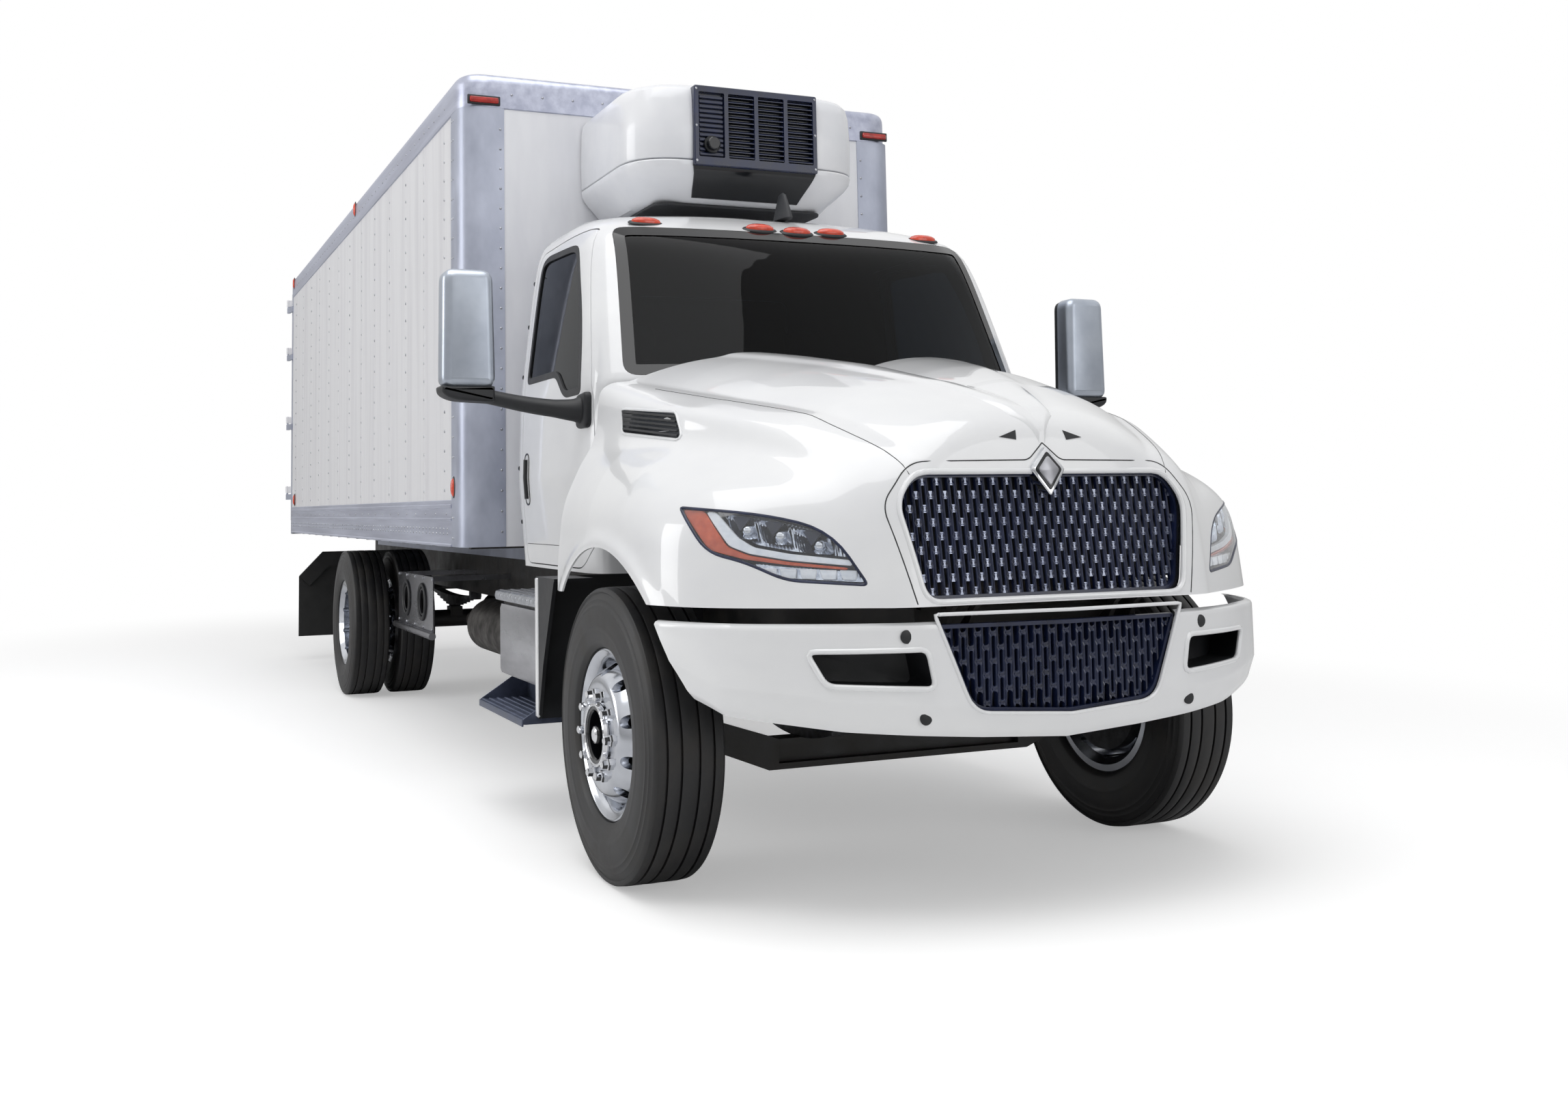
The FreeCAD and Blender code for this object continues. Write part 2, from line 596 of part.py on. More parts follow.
def hood_loft(inset):
    """The hood's closed outer form, or the same form drawn in by inset and open below."""
    wires = []
    z_low = HOOD_BOTTOM_Z - (60 if inset else 0)
    for x, zc, *half in HOOD_SECTIONS:
        yb = half.pop()
        ys, zs = half[0::2], half[1::2]
        lean = (0.4, 0.7, 1.0, 0.6, 1.0)
        drop = (1.0, 0.8, 0.4, 0.9, 0.4)
        side = [(y - inset * a, z - inset * b) for y, z, a, b in zip(ys, zs, lean, drop)]
        side.append((yb - inset, z_low))
        pts = [(-y, z) for y, z in reversed(side)] + [(0, zc - inset)] + side
        wires.append(outline([(x, y, z) for y, z in pts]))
    return Part.makeLoft(wires, True, True)


# Plan of the hood's nose at its lower edge, half of it: (x, y) from the centre line to the side.
NOSE_PLAN = ((1055.0, 0.0), (1052.0, 520.0), (1030.0, 605.0), (1005.0, 637.0), (885.0, 845.0),
             (755.0, 1040.0), (620.0, 1160.0), (430.0, 1240.0))
NOSE_LEAN = 0.13                # how far the nose leans back for each unit of height
NOSE_Z = (900.0, 1700.0)


def nose_plan(inset):
    """Everything behind the hood's leaning nose, drawn in by inset."""
    rear = HOOD_REAR_X - 200
    wires = []
    for z in NOSE_Z:
        back = inset + NOSE_LEAN * (z - HOOD_BOTTOM_Z)
        half = [(x - back, max(0.0, y - inset * 0.3)) for x, y in NOSE_PLAN]
        pts = [(rear, -1300)] + [(x, -y) for x, y in reversed(half)] + half[1:] + [(rear, 1300)]
        wires.append(outline([(x, y, z) for x, y in pts]))
    return Part.makeLoft(wires, True, True)


GRILLE_OUTLINE = ((-487.0, 1008.0), (487.0, 1008.0), (552.0, 1310.0), (484.0, 1402.0),
                  (-484.0, 1402.0), (-552.0, 1310.0))


def cowl_edge(gap):
    """Everything behind the hood's curved rear edge, which follows the foot of the windshield."""
    z, x_mid, x_side, y_side = CAB_SECTIONS[2][:4]
    a, m, b = V(x_side + gap, -y_side, 0), V(x_mid + gap, 0, 0), V(x_side + gap, y_side, 0)
    far = x_side - 400
    pts = [V(x_side + gap, -1300, 0), V(far, -1300, 0), V(far, 1300, 0), V(x_side + gap, 1300, 0)]
    runs = [Part.LineSegment(p, q).toShape() for p, q in
            ((a, pts[0]), (pts[0], pts[1]), (pts[1], pts[2]), (pts[2], pts[3]), (pts[3], b))]
    face = Part.Face(Part.Wire([Part.Arc(b, m, a).toShape()] + runs))
    solid = face.extrude(V(0, 0, 1400))
    solid.translate(V(0, 0, 900))
    return solid


def hood():
    """One-piece tilting hood with its fenders, grille and lamp openings and hinge arms."""
    skin = hood_loft(0).common(nose_plan(0))
    skin = skin.cut(hood_loft(HOOD_SKIN).common(nose_plan(HOOD_SKIN)))
    skin = skin.cut(cowl_edge(HOOD_REAR_GAP))
    skin = skin.cut(rod(ARCH_R, (0, -1400, TYRE_R), Y_AXIS, 2800))
    skin = skin.cut(prism_x(GRILLE_OUTLINE, 900, 1200))
    pieces = [skin]
    for s in (-1, 1):
        pieces[0] = pieces[0].cut(lamp_prism(s, 0))
        y0, y1 = s * (HINGE_Y - HINGE_ARM_T / 2), s * (HINGE_Y + HINGE_ARM_T / 2)
        lip_x = NOSE_PLAN[0][0] - HOOD_SKIN + 5
        pieces.append(block(HOOD_PIVOT_X - 12, lip_x, y0, y1, HOOD_BOTTOM_Z, GRILLE_OUTLINE[0][1] - 1))
        pieces.append(rod(20, (HOOD_PIVOT_X, y0, HOOD_PIVOT_Z), V(0, s, 0), HINGE_ARM_T))
    whole = joined(pieces)
    for s in (-1, 1):
        whole = whole.cut(rod(HINGE_PIN_R + PIN_FIT, (HOOD_PIVOT_X, s * 200, HOOD_PIVOT_Z), V(0, s, 0), 240))
    return whole


HOOD_REAR_GAP = 8.0
HINGE_Y = 315.0
HINGE_ARM_T = 30.0
HINGE_PIN_R = 10.0


# (distance along the lamp's face, z) outline of the headlamp, and the face's two ends in plan (x, y).
LAMP_OUTLINE = ((0.0, 1056.0), (260.0, 1072.0), (395.0, 1130.0), (520.0, 1160.0), (635.0, 1310.0),
                (330.0, 1285.0), (120.0, 1232.0))
LAMP_START = (985.0, 640.0)
LAMP_END = (600.0, 1150.0)


def lamp_prism(s, shrink, depth0=-60.0, depth1=60.0):
    """A block through the fender's swept face with the headlamp's outline."""
    (x0, y0), (x1, y1) = LAMP_START, LAMP_END
    d = V(x1 - x0, y1 - y0, 0).normalize()
    n = V(d.y, -d.x, 0)
    pts = []
    us, zs = [p[0] for p in LAMP_OUTLINE], [p[1] for p in LAMP_OUTLINE]
    mu, mz = (min(us) + max(us)) / 2, (min(zs) + max(zs)) / 2
    for u, z in LAMP_OUTLINE:
        u -= math.copysign(shrink, u - mu)
        z -= math.copysign(shrink, z - mz)
        p = V(x0, y0, 0) + d * u + n * depth0
        pts.append(V(p.x, s * p.y, z))
    face = Part.Face(Part.makePolygon(pts + [pts[0]]))
    run = n * (depth1 - depth0)
    return face.extrude(V(run.x, s * run.y, 0))


def headlamps():
    lens = hood_loft(0).common(nose_plan(0)).cut(hood_loft(HOOD_SKIN).common(nose_plan(60)))
    return Part.makeCompound([lens.common(lamp_prism(s, 0)) for s in (-1, 1)])


def grille():
    """Grille plate across the hood's nose."""
    return nose_plan(4).cut(nose_plan(30)).common(prism_x(GRILLE_OUTLINE, 900, 1200))


# ---------------------------------------------------------------- bumper
BUMPER_T = 40.0
BUMPER_TOP_Z = 945.0
BUMPER_PLAN = ((1105.0, 0.0), (1068.0, 463.0), (1050.0, 570.0), (985.0, 760.0), (800.0, 1040.0),
               (560.0, 1165.0), (505.0, 1175.0))
# (y, z) outlines seen from the front: the bumper's lower edge, a lower opening and the lower grille.
BUMPER_FOOT = ((300.0, 585.0), (750.0, 618.0), (1060.0, 660.0), (1160.0, 740.0))
FOG_OUTLINE = ((475.0, 747.0), (790.0, 762.0), (840.0, 861.0), (497.0, 862.0))
LOWER_GRILLE_OUTLINE = ((-345.0, 668.0), (0.0, 648.0), (345.0, 668.0), (465.0, 955.0), (-465.0, 955.0))


def bumper_band(front, back, z0, z1):
    """Solid between the bumper's plan line drawn in by front and by back."""
    def line(i):
        return [(x - i, y - i * 0.55 * (y / BUMPER_PLAN[-1][1])) for x, y in BUMPER_PLAN]
    a, b = line(front), line(back)
    pts = [(x, -y) for x, y in reversed(a)] + a[1:] + list(reversed(b)) + [(x, -y) for x, y in b[1:]]
    return prism_z(pts, z0, z1)


def front_bumper():
    """Wrap-round bumper with its lower openings, on two brackets inside the frame rails."""
    band = bumper_band(0, BUMPER_T, BUMPER_FOOT[0][1], BUMPER_TOP_Z)
    low = BUMPER_FOOT[0][1] - 10
    foot = [(300, low)] + list(BUMPER_FOOT) + [(1300, 760), (1300, low)]
    under = prism_x(foot, 300, 1300)
    band = band.cut(under).cut(mirrored(under))
    band = band.cut(prism_x(LOWER_GRILLE_OUTLINE, 900, 1300))
    fog = prism_x(FOG_OUTLINE, 500, 1300)
    band = band.cut(fog).cut(mirrored(fog))
    band = band.cut(rod(ARCH_R, (0, -1400, TYRE_R), Y_AXIS, 2800))
    inner = RAIL_OUT_Y - RAIL_WALL
    horns = [block(RAIL_FRONT_X - 60, NOSE_X - 67, s * 350, s * inner, 760, 900) for s in (-1, 1)]
    return joined([band] + horns)


def bumper_grille():
    """Plate across the bumper's middle opening."""
    band = bumper_band(10, 30, BUMPER_FOOT[0][1], BUMPER_TOP_Z)
    return band.common(prism_x(LOWER_GRILLE_OUTLINE, 900, 1300))


# ---------------------------------------------------------------- cab access and chassis boxes
def splash_guards():
    """Flat guards behind the front wheels, hung from the frame."""
    guard = block(-900, -870, 480, 1165, 455, 1030)
    side = prism_y(((-870, 455), (-900, 455), (-900, 1030), (-640, 1030), (-700, 900), (-800, 680)),
                   1150, 1165)
    roof = block(-900, -640, 1000, 1165, 1018, 1030)
    hanger = block(-900, -870, RAIL_OUT_Y, 500, 820, 960)
    g = joined([guard, side, roof, hanger])
    return Part.makeCompound([g, mirrored(g)])


STEP_FRONT_X, STEP_REAR_X = -910.0, -1640.0
STEP_Z = 450.0
BATTERY_BOTTOM_Z = 560.0
TANK_BOTTOM_Z = 500.0


def battery_box():
    """Brushed box under the passenger door that carries the upper tread."""
    return joined([block(STEP_FRONT_X, STEP_REAR_X, -1130, -560, BATTERY_BOTTOM_Z, 900),
                   block(STEP_FRONT_X, STEP_REAR_X, -1150, -540, 900, 940),
                   block(-1100, -1180, -560, -RAIL_OUT_Y, 760, 860),
                   block(-1450, -1530, -560, -RAIL_OUT_Y, 760, 860)])


def fuel_tank():
    """D-section tank under the driver's door, on two hangers."""
    tank = block(STEP_FRONT_X, STEP_REAR_X - 500, 560, 1110, TANK_BOTTOM_Z, 900)
    tank = rounded(tank, 110, lambda e: abs(e.Vertexes[0].Point.x - e.Vertexes[-1].Point.x) > 500)
    tread = block(STEP_FRONT_X, STEP_REAR_X, 545, 1150, 905, 940)
    straps = [block(x - 30, x + 30, RAIL_OUT_Y, 600, 700, 860) for x in (-1150, -1850)]
    posts = [block(x - 20, x + 20, 700, 1000, 895, 910) for x in (-1000, -1550)]
    return joined([tank, tread] + straps + posts)


def cab_steps():
    """Folded lower steps hung below each access box."""
    out = []
    for s, top in ((-1, BATTERY_BOTTOM_Z), (1, TANK_BOTTOM_Z)):
        taper = prism_x(((s * 1300, 450), (s * 1225, 450), (s * 1040, top), (s * 1040, 700), (s * 1300, 700)),
                        STEP_REAR_X - 10, STEP_FRONT_X + 10)
        tread = block(STEP_FRONT_X, STEP_REAR_X, s * 990, s * 1225, STEP_Z - 25, STEP_Z)
        back = block(STEP_FRONT_X, STEP_REAR_X, s * 990, s * 1000, STEP_Z - 25, top)
        ends = [block(x, x - 6, s * 990, s * 1225, STEP_Z - 25, top).cut(taper)
                for x in (STEP_FRONT_X, STEP_REAR_X + 6)]
        out.append(joined([tread, back] + ends))
    return Part.makeCompound(out)


def muffler():
    """Exhaust silencer across behind the access box, with its tail pipe."""
    can = rod(150, (-2550, -700, 640), V(-1, 0, 0), 900)
    pipe = rod(50, (-3400, -700, 640), V(-1, 0, 0), 500)
    hangers = [block(x - 30, x + 30, -700, -RAIL_OUT_Y, 760, 830) for x in (-2700, -3250)]
    return joined([can, pipe] + hangers)


PANEL_REAR_X = 730.0 - WHEELBASE
PANEL_L = 1100.0
PANEL_Y = -945.0
PORT_R = 105.0


def equipment_panel():
    """Side plate ahead of the rear wheels with two round ports, on two arms from the rail."""
    x1, y = PANEL_REAR_X, PANEL_Y
    x0 = x1 + PANEL_L
    plate = block(x0, x1, y, y + 8, 560, 900)
    for x in (x1 + 300, x0 - 300):
        plate = plate.cut(rod(PORT_R, (x, y - 50, 735), Y_AXIS, 120))
    rail = rod(22, (x0 + 60, y - 16, 545), V(-1, 0, 0), PANEL_L + 80)
    arms = [block(x - 20, x + 20, y, -RAIL_OUT_Y, 870, 900) for x in (x0 - 100, x1 + 100)]
    return joined([plate, rail] + arms)


# ---------------------------------------------------------------- van body
FLOOR_BEAM_COUNT = 16
FLOOR_BEAM_W = 50.0
SILL_TOP_Z = BOX_BOTTOM_Z - 12


def box_floor():
    """Insulated floor slab."""
    inner = BOX_HALF_W - BOX_WALL
    return block(BOX_FRONT_X - BOX_FRONT_WALL, BOX_REAR_X + REAR_FRAME_L, -inner, inner,
                 BOX_FLOOR_TOP_Z - BOX_FLOOR_T, BOX_FLOOR_TOP_Z)


def floor_beams():
    """Crossbeams under the floor slab."""
    inner = BOX_HALF_W - BOX_WALL
    pitch = (BOX_LENGTH - 420) / (FLOOR_BEAM_COUNT - 1)
    beams = []
    for k in range(FLOOR_BEAM_COUNT):
        x = BOX_FRONT_X - 160 - k * pitch
        beams.append(block(x - FLOOR_BEAM_W / 2, x + FLOOR_BEAM_W / 2, -inner, inner,
                           SILL_TOP_Z, BOX_FLOOR_TOP_Z - BOX_FLOOR_T))
    return Part.makeCompound(beams)


def body_sills():
    """Long sills that carry the crossbeams on the frame rails."""
    sill = block(BOX_FRONT_X - 30, BOX_REAR_X + REAR_FRAME_L, RAIL_OUT_Y - 75, RAIL_OUT_Y,
                 RAIL_TOP_Z, SILL_TOP_Z)
    return Part.makeCompound([sill, mirrored(sill)])


def box_front_wall():
    """Front wall with its two rounded corner posts."""
    x0 = BOX_FRONT_X
    wall = block(x0, x0 - BOX_FRONT_WALL, -BOX_HALF_W, BOX_HALF_W, BOX_BOTTOM_Z, BOX_TOP_Z - BOX_ROOF)
    corners = [block(x0, x0 - CORNER_R, s * (BOX_HALF_W - BOX_WALL), s * BOX_HALF_W, BOX_BOTTOM_Z,
                     BOX_TOP_Z - BOX_ROOF) for s in (-1, 1)]
    wall = joined([wall] + corners)
    return rounded(wall, CORNER_R - 4, lambda e: upright(e) and abs(e.Vertexes[0].Point.x - x0) < 1)


def box_side_walls():
    x0, x1 = BOX_FRONT_X - CORNER_R, BOX_REAR_X + REAR_FRAME_L
    wall = block(x0, x1, BOX_HALF_W - BOX_WALL, BOX_HALF_W, BOX_BOTTOM_Z, BOX_TOP_Z - BOX_ROOF)
    return Part.makeCompound([wall, mirrored(wall)])


def box_roof():
    x0, x1 = BOX_FRONT_X, BOX_REAR_X + REAR_FRAME_L
    roof = block(x0, x1, -BOX_HALF_W, BOX_HALF_W, BOX_TOP_Z - BOX_ROOF, BOX_TOP_Z)
    roof = rounded(roof, CORNER_R - 4, lambda e: upright(e) and abs(e.Vertexes[0].Point.x - x0) < 1)
    top = BOX_TOP_Z - 1
    return rounded(roof, 40, lambda e: all(v.Point.z > top for v in e.Vertexes)
                   and min(v.Point.x for v in e.Vertexes) >= x1 and not
                   all(abs(v.Point.x - x1) < 1 for v in e.Vertexes))


def box_rear_frame():
    """Steel portal round the rear doorway."""
    x0, x1 = BOX_REAR_X + REAR_FRAME_L, BOX_REAR_X
    whole = block(x0, x1, -BOX_HALF_W, BOX_HALF_W, SILL_TOP_Z, BOX_TOP_Z)
    hole = block(x0 + 10, x1 - 10, -(BOX_HALF_W - REAR_FRAME_POST), BOX_HALF_W - REAR_FRAME_POST,
                 BOX_FLOOR_TOP_Z, BOX_TOP_Z - REAR_HEADER_H)
    portal = whole.cut(hole)
    dock = [block(x1, DOCK_BUMPER_X, s * (BOX_HALF_W - 315), s * (BOX_HALF_W - 95), SILL_TOP_Z,
                  SILL_TOP_Z + 100) for s in (-1, 1)]
    pins = []
    for s in (-1, 1):
        for z in REAR_HINGE_Z:
            pins.append(rod(9, (REAR_PIVOT_X, s * REAR_PIVOT_Y, z - 70), Z_AXIS, 124))
            lug = [(x1 + 60, s * (BOX_HALF_W - 4)), (x1 + 60, s * (BOX_HALF_W + 8)),
                   (REAR_PIVOT_X, s * (REAR_PIVOT_Y + 12)), (REAR_PIVOT_X - 12, s * REAR_PIVOT_Y),
                   (REAR_PIVOT_X, s * (REAR_PIVOT_Y - 16)), (x1, s * BOX_HALF_W), (x1, s * (BOX_HALF_W - 4))]
            pins.append(prism_z(lug, z - 70, z - 20))
    return joined([portal] + dock + pins)


REAR_HINGE_Z = (1500.0, 2150.0, 2800.0, 3250.0)
REAR_PIVOT_X = REAR_DOOR_FACE_X - REAR_HINGE_OFF
REAR_PIVOT_Y = BOX_HALF_W + REAR_HINGE_OFF


def rear_door(s):
    """One leaf of the swing doors, with its hinge eyes, lock rod and handle."""
    x0, x1 = REAR_DOOR_FACE_X + REAR_DOOR_T, REAR_DOOR_FACE_X
    z0, z1 = BOX_FLOOR_TOP_Z - 60, BOX_TOP_Z - REAR_HEADER_H + 60
    leaf = block(x0, x1, s * REAR_DOOR_GAP, s * (BOX_HALF_W - 6), z0, z1)
    pieces = [leaf]
    x, y = REAR_PIVOT_X, s * REAR_PIVOT_Y
    strap = [(x1, s * (BOX_HALF_W - 165)), (x1, s * (BOX_HALF_W - 6)), (x + 10, y + s * 8), (x - 10, y + s * 4),
             (x - 10, y - s * 10), (x1 - 9, s * (BOX_HALF_W - 40)), (x1 - 9, s * (BOX_HALF_W - 165))]
    for z in REAR_HINGE_Z:
        pieces += [rod(15, (x, y, z - 8), Z_AXIS, 60), prism_z(strap, z - 8, z + 52)]
    pieces.append(rod(14, (x1 - 16, s * 300, z0 - 15), Z_AXIS, z1 - z0 + 30))
    for z in (z0 + 130, (z0 + z1) / 2, z1 - 130):
        pieces.append(block(x1 - 32, x1, s * 275, s * 325, z - 30, z + 30))
    pieces.append(block(x1 - 34, x1 - 16, s * 290, s * 620, 1560, 1590))
    door = joined(pieces)
    return door.cut(rod(9 + PIN_FIT, (x, y, z0), Z_AXIS, z1 - z0))


# ---------------------------------------------------------------- refrigeration unit
REEFER_FRONT_X = -1180.0
REEFER_HALF_W = 600.0
REEFER_BOTTOM_Z = 2735.0
REEFER_SEAM_Z = 2915.0
REEFER_TOP_Z = 3285.0


def refrigeration_unit():
    """Nose-mounted unit: bowed upper cover over a tapered lower pan."""
    def plan(front, half, corner, z):
        a = V(BOX_FRONT_X, -half, z)
        b = V(front - corner, -half, z)
        c = V(front, -half + corner * 1.25, z)
        mb = V(front - corner * 0.27, -half + corner * 0.33, z)
        c2, b2, a2 = V(c.x, -c.y, z), V(b.x, -b.y, z), V(a.x, -a.y, z)
        mb2 = V(mb.x, -mb.y, z)
        return Part.Wire([Part.LineSegment(a, b).toShape(), Part.Arc(b, mb, c).toShape(),
                          Part.LineSegment(c, c2).toShape(), Part.Arc(c2, mb2, b2).toShape(),
                          Part.LineSegment(b2, a2).toShape(), Part.LineSegment(a2, a).toShape()])
    upper = Part.makeLoft([plan(REEFER_FRONT_X, REEFER_HALF_W, 220, REEFER_SEAM_Z),
                           plan(REEFER_FRONT_X - 5, REEFER_HALF_W - 5, 220, REEFER_TOP_Z - 60),
                           plan(REEFER_FRONT_X - 50, REEFER_HALF_W - 45, 210, REEFER_TOP_Z)], True, True)
    lower = Part.makeLoft([plan(REEFER_FRONT_X, REEFER_HALF_W, 220, REEFER_SEAM_Z),
                           plan(REEFER_FRONT_X, REEFER_HALF_W, 220, REEFER_SEAM_Z - 50),
                           plan(REEFER_FRONT_X - 130, REEFER_HALF_W - 110, 190, REEFER_BOTTOM_Z)], True, True)
    return joined([upper, lower])


# ---------------------------------------------------------------- mirrors, rear end
MIRROR_X = -760.0


def door_mirror(s):
    """Tall mirror head on a swept arm from the door's front corner."""
    head = block(MIRROR_X + 70, MIRROR_X - 60, s * 1375, s * 1600, 1790, 2270)
    head = rounded(head, 40, lambda e: True)
    cup = prism_x(((s * 1375, 1800), (s * 1375, 1745), (s * 1600, 1755), (s * 1600, 1800)),
                  MIRROR_X + 60, MIRROR_X - 50)
    arm = prism_x(((s * 980, 1775), (s * 980, 1655), (s * 1100, 1665), (s * 1400, 1745),
                   (s * 1400, 1800), (s * 1100, 1770)), MIRROR_X + 60, MIRROR_X - 20)
    return joined([head, cup, arm]).cut(cab_loft(0))


def underride_guard():
    """Rear guard bar on two hangers from the rails."""
    x = BOX_REAR_X + 60
    bar = block(x, x - 100, -1050, 1050, 560, 660)
    legs = [block(x, x - 100, s * 380, s * 432, 560, SILL_TOP_Z) for s in (-1, 1)]
    return joined([bar] + legs)


FLAP_X = -8300.0


def mud_flaps():
    """Rubber flaps near the tail, each behind a flat hanger whose outer end is bent down."""
    hanger = prism_x(((RAIL_OUT_Y, 960), (1010, 960), (1212, 750), (1122, 663), (957, 835),
                      (RAIL_OUT_Y, 835)), FLAP_X, FLAP_X + 30)
    flap = prism_x(((600, 222), (1212, 222), (1212, 745), (1005, 950), (600, 950)), FLAP_X - 10, FLAP_X)
    one = joined([hanger, flap])
    return Part.makeCompound([one, mirrored(one)])


def hood_hinge():
    """Bracket on the frame's front end that holds the hood's pivot pins."""
    base_z, base_t = 900.0, 14.0
    inner = RAIL_OUT_Y - RAIL_WALL
    x, z = HOOD_PIVOT_X, HOOD_PIVOT_Z
    pieces = [block(830, x - 43, -inner, inner, base_z, base_z + base_t)]
    side = [(x - 118, base_z + 5), (x - 60, base_z + 5), (x - 14, z - 25), (x + 12, z - 6), (x + 12, z + 12),
            (x - 14, z + 12), (x - 70, z - 55)]
    for s in (-1, 1):
        pieces.append(rod(HINGE_PIN_R, (x, s * (HINGE_Y - 65), z), V(0, s, 0), 120))
        for y in (HINGE_Y - 53, HINGE_Y + 30):
            pieces.append(prism_y(side, s * y, s * (y + 18)))
    return joined(pieces)


# ---------------------------------------------------------------- all pieces
def build():
    os.makedirs("parts", exist_ok=True)
    single = {
        "frame_rails": frame_rails, "crossmembers": crossmembers, "front_axle": front_axle,
        "front_springs": front_springs,
        "rear_axle": rear_axle, "rear_springs": rear_springs, "driveshaft": driveshaft,
        "engine_block": engine_block, "radiator": radiator, "tie_rod": tie_rod, "cab_shell": cab_shell,
        "cab_glass": cab_glass, "dashboard": dashboard, "steering_wheel": steering_wheel,
        "seats": seats, "hood": hood, "grille": grille, "headlamps": headlamps,
        "hood_hinge": hood_hinge, "front_bumper": front_bumper, "bumper_grille": bumper_grille,
        "splash_guards": splash_guards, "battery_box": battery_box, "fuel_tank": fuel_tank,
        "cab_steps": cab_steps, "muffler": muffler, "equipment_panel": equipment_panel,
        "box_floor": box_floor, "floor_beams": floor_beams, "body_sills": body_sills,
        "box_front_wall": box_front_wall, "box_side_walls": box_side_walls,
        "box_roof": box_roof, "box_rear_frame": box_rear_frame,
        "refrigeration_unit": refrigeration_unit, "underride_guard": underride_guard,
        "mud_flaps": mud_flaps,
    }
    for name, make in single.items():
        export(name, make())
    sided = {"knuckle": knuckle, "front_%s_tyre": front_tyre, "front_%s_wheel": front_wheel,
             "rear_%s_tyres": rear_tyres, "rear_%s_wheels": rear_wheels, "cab_door": cab_door,
             "door_glass": door_glass, "door_mirror": door_mirror, "rear_door": rear_door}
    for name, make in sided.items():
        for s, word in ((1, "left"), (-1, "right")):
            node = name % word if "%s" in name else "%s_%s" % (name, word)
            export(node, make(s))


build()
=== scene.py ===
# %% [markdown]
# # A refrigerated delivery truck
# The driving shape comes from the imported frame: every body, joint and size is already settled there.
# These cells build what the eye sees: smooth painted panels, glass, lamps, wheels and riveted sheet.
# Each shape is a formula on a grid of numbers, so numpy works out all of its points at once.
# %% Loading the frame
import bpy
import bmesh
import numpy as np
from mathutils import Matrix, Vector


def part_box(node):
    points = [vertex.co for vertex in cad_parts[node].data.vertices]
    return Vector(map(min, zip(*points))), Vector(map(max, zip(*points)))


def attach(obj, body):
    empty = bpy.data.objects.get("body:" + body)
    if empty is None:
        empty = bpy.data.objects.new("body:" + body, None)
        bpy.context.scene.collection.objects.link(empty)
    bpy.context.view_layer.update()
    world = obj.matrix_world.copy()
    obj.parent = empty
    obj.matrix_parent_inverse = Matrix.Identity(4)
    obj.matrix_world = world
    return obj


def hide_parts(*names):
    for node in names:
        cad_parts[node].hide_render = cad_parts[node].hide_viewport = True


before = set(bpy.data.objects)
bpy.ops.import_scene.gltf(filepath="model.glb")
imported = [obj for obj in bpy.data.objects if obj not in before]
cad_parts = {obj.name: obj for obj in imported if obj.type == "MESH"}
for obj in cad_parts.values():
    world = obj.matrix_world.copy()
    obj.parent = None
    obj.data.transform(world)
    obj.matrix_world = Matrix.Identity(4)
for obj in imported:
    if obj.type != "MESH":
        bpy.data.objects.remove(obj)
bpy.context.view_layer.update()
axle_low, axle_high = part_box("front_axle")
AXLE_X = (axle_low.x + axle_high.x) / 2

# %% [markdown]
# All shapes below are written in metres from the front axle, on the ground, +X forward and +Y to the
# driver's left. One shift by AXLE_X puts them in the frame. A shape is a pair: points and faces.
# %% Grids, shells and prisms
def grid(P, close_u=False, close_v=False):
    """Quads over an array of points P[u, v]: each cell joins (u, v), (u+1, v), (u+1, v+1), (u, v+1)."""
    nu, nv = P.shape[:2]
    u = np.arange(nu if close_u else nu - 1)[:, None]
    v = np.arange(nv if close_v else nv - 1)[None, :]
    a, b = (u % nu) * nv + v % nv, ((u + 1) % nu) * nv + v % nv
    c, d = ((u + 1) % nu) * nv + (v + 1) % nv, (u % nu) * nv + (v + 1) % nv
    return P.reshape(-1, 3), np.stack([a, b, c, d], -1).reshape(-1, 4)


def stacked(rings):
    """Closed rings joined one to the next, with the first and last closed by their own faces."""
    points, faces = grid(np.array(rings), close_v=True)
    n, m = len(rings), len(rings[0])
    return points, faces.tolist() + [list(range(m)), list(range((n - 1) * m, n * m))]


def copies(P, close_u=False):
    """Many shapes of one kind at once, P[shape, u, v]: the first one's faces, counted on for the rest."""
    points, cell = grid(P[0], close_u, close_v=True)
    faces = cell[None] + np.arange(len(P))[:, None, None] * len(points)
    return P.reshape(-1, 3), faces.reshape(-1, 4)


def shell(outer, inner, close_v=False):
    """A closed skin between two grids of the same size: both faces, and a strip round each open edge."""
    skins = np.concatenate([outer, inner[::-1]], 0)
    points, faces = grid(skins, close_u=True, close_v=close_v)
    if close_v:
        return points, faces
    nu, nv = outer.shape[:2]
    u = np.arange(nu - 1)
    mate = 2 * nu - 1 - u
    caps = [np.stack([u * nv + v, (u + 1) * nv + v, (mate - 1) * nv + v, mate * nv + v], -1) for v in (0, nv - 1)]
    return points, np.concatenate([faces] + caps)


def mirrored(shape):
    """The same shape on the other side of the truck: y becomes -y and each face is turned round."""
    points, faces = shape
    points = np.array(points, float) * (1, -1, 1)
    return points, (faces[:, ::-1] if isinstance(faces, np.ndarray) else [f[::-1] for f in faces])


def both(shape):
    """A shape and its mirror image."""
    return [shape, mirrored(shape)]


def xyz(x, y, z):
    """Points from three arrays or numbers, each stretched to the size of the largest."""
    return np.stack(np.broadcast_arrays(x, y, z), -1).astype(float)


def full_turn(count):
    """The angles of count points spread evenly round a circle."""
    return np.linspace(0, 2 * np.pi, count, endpoint=False)


SHORT_SIDE = 0.48


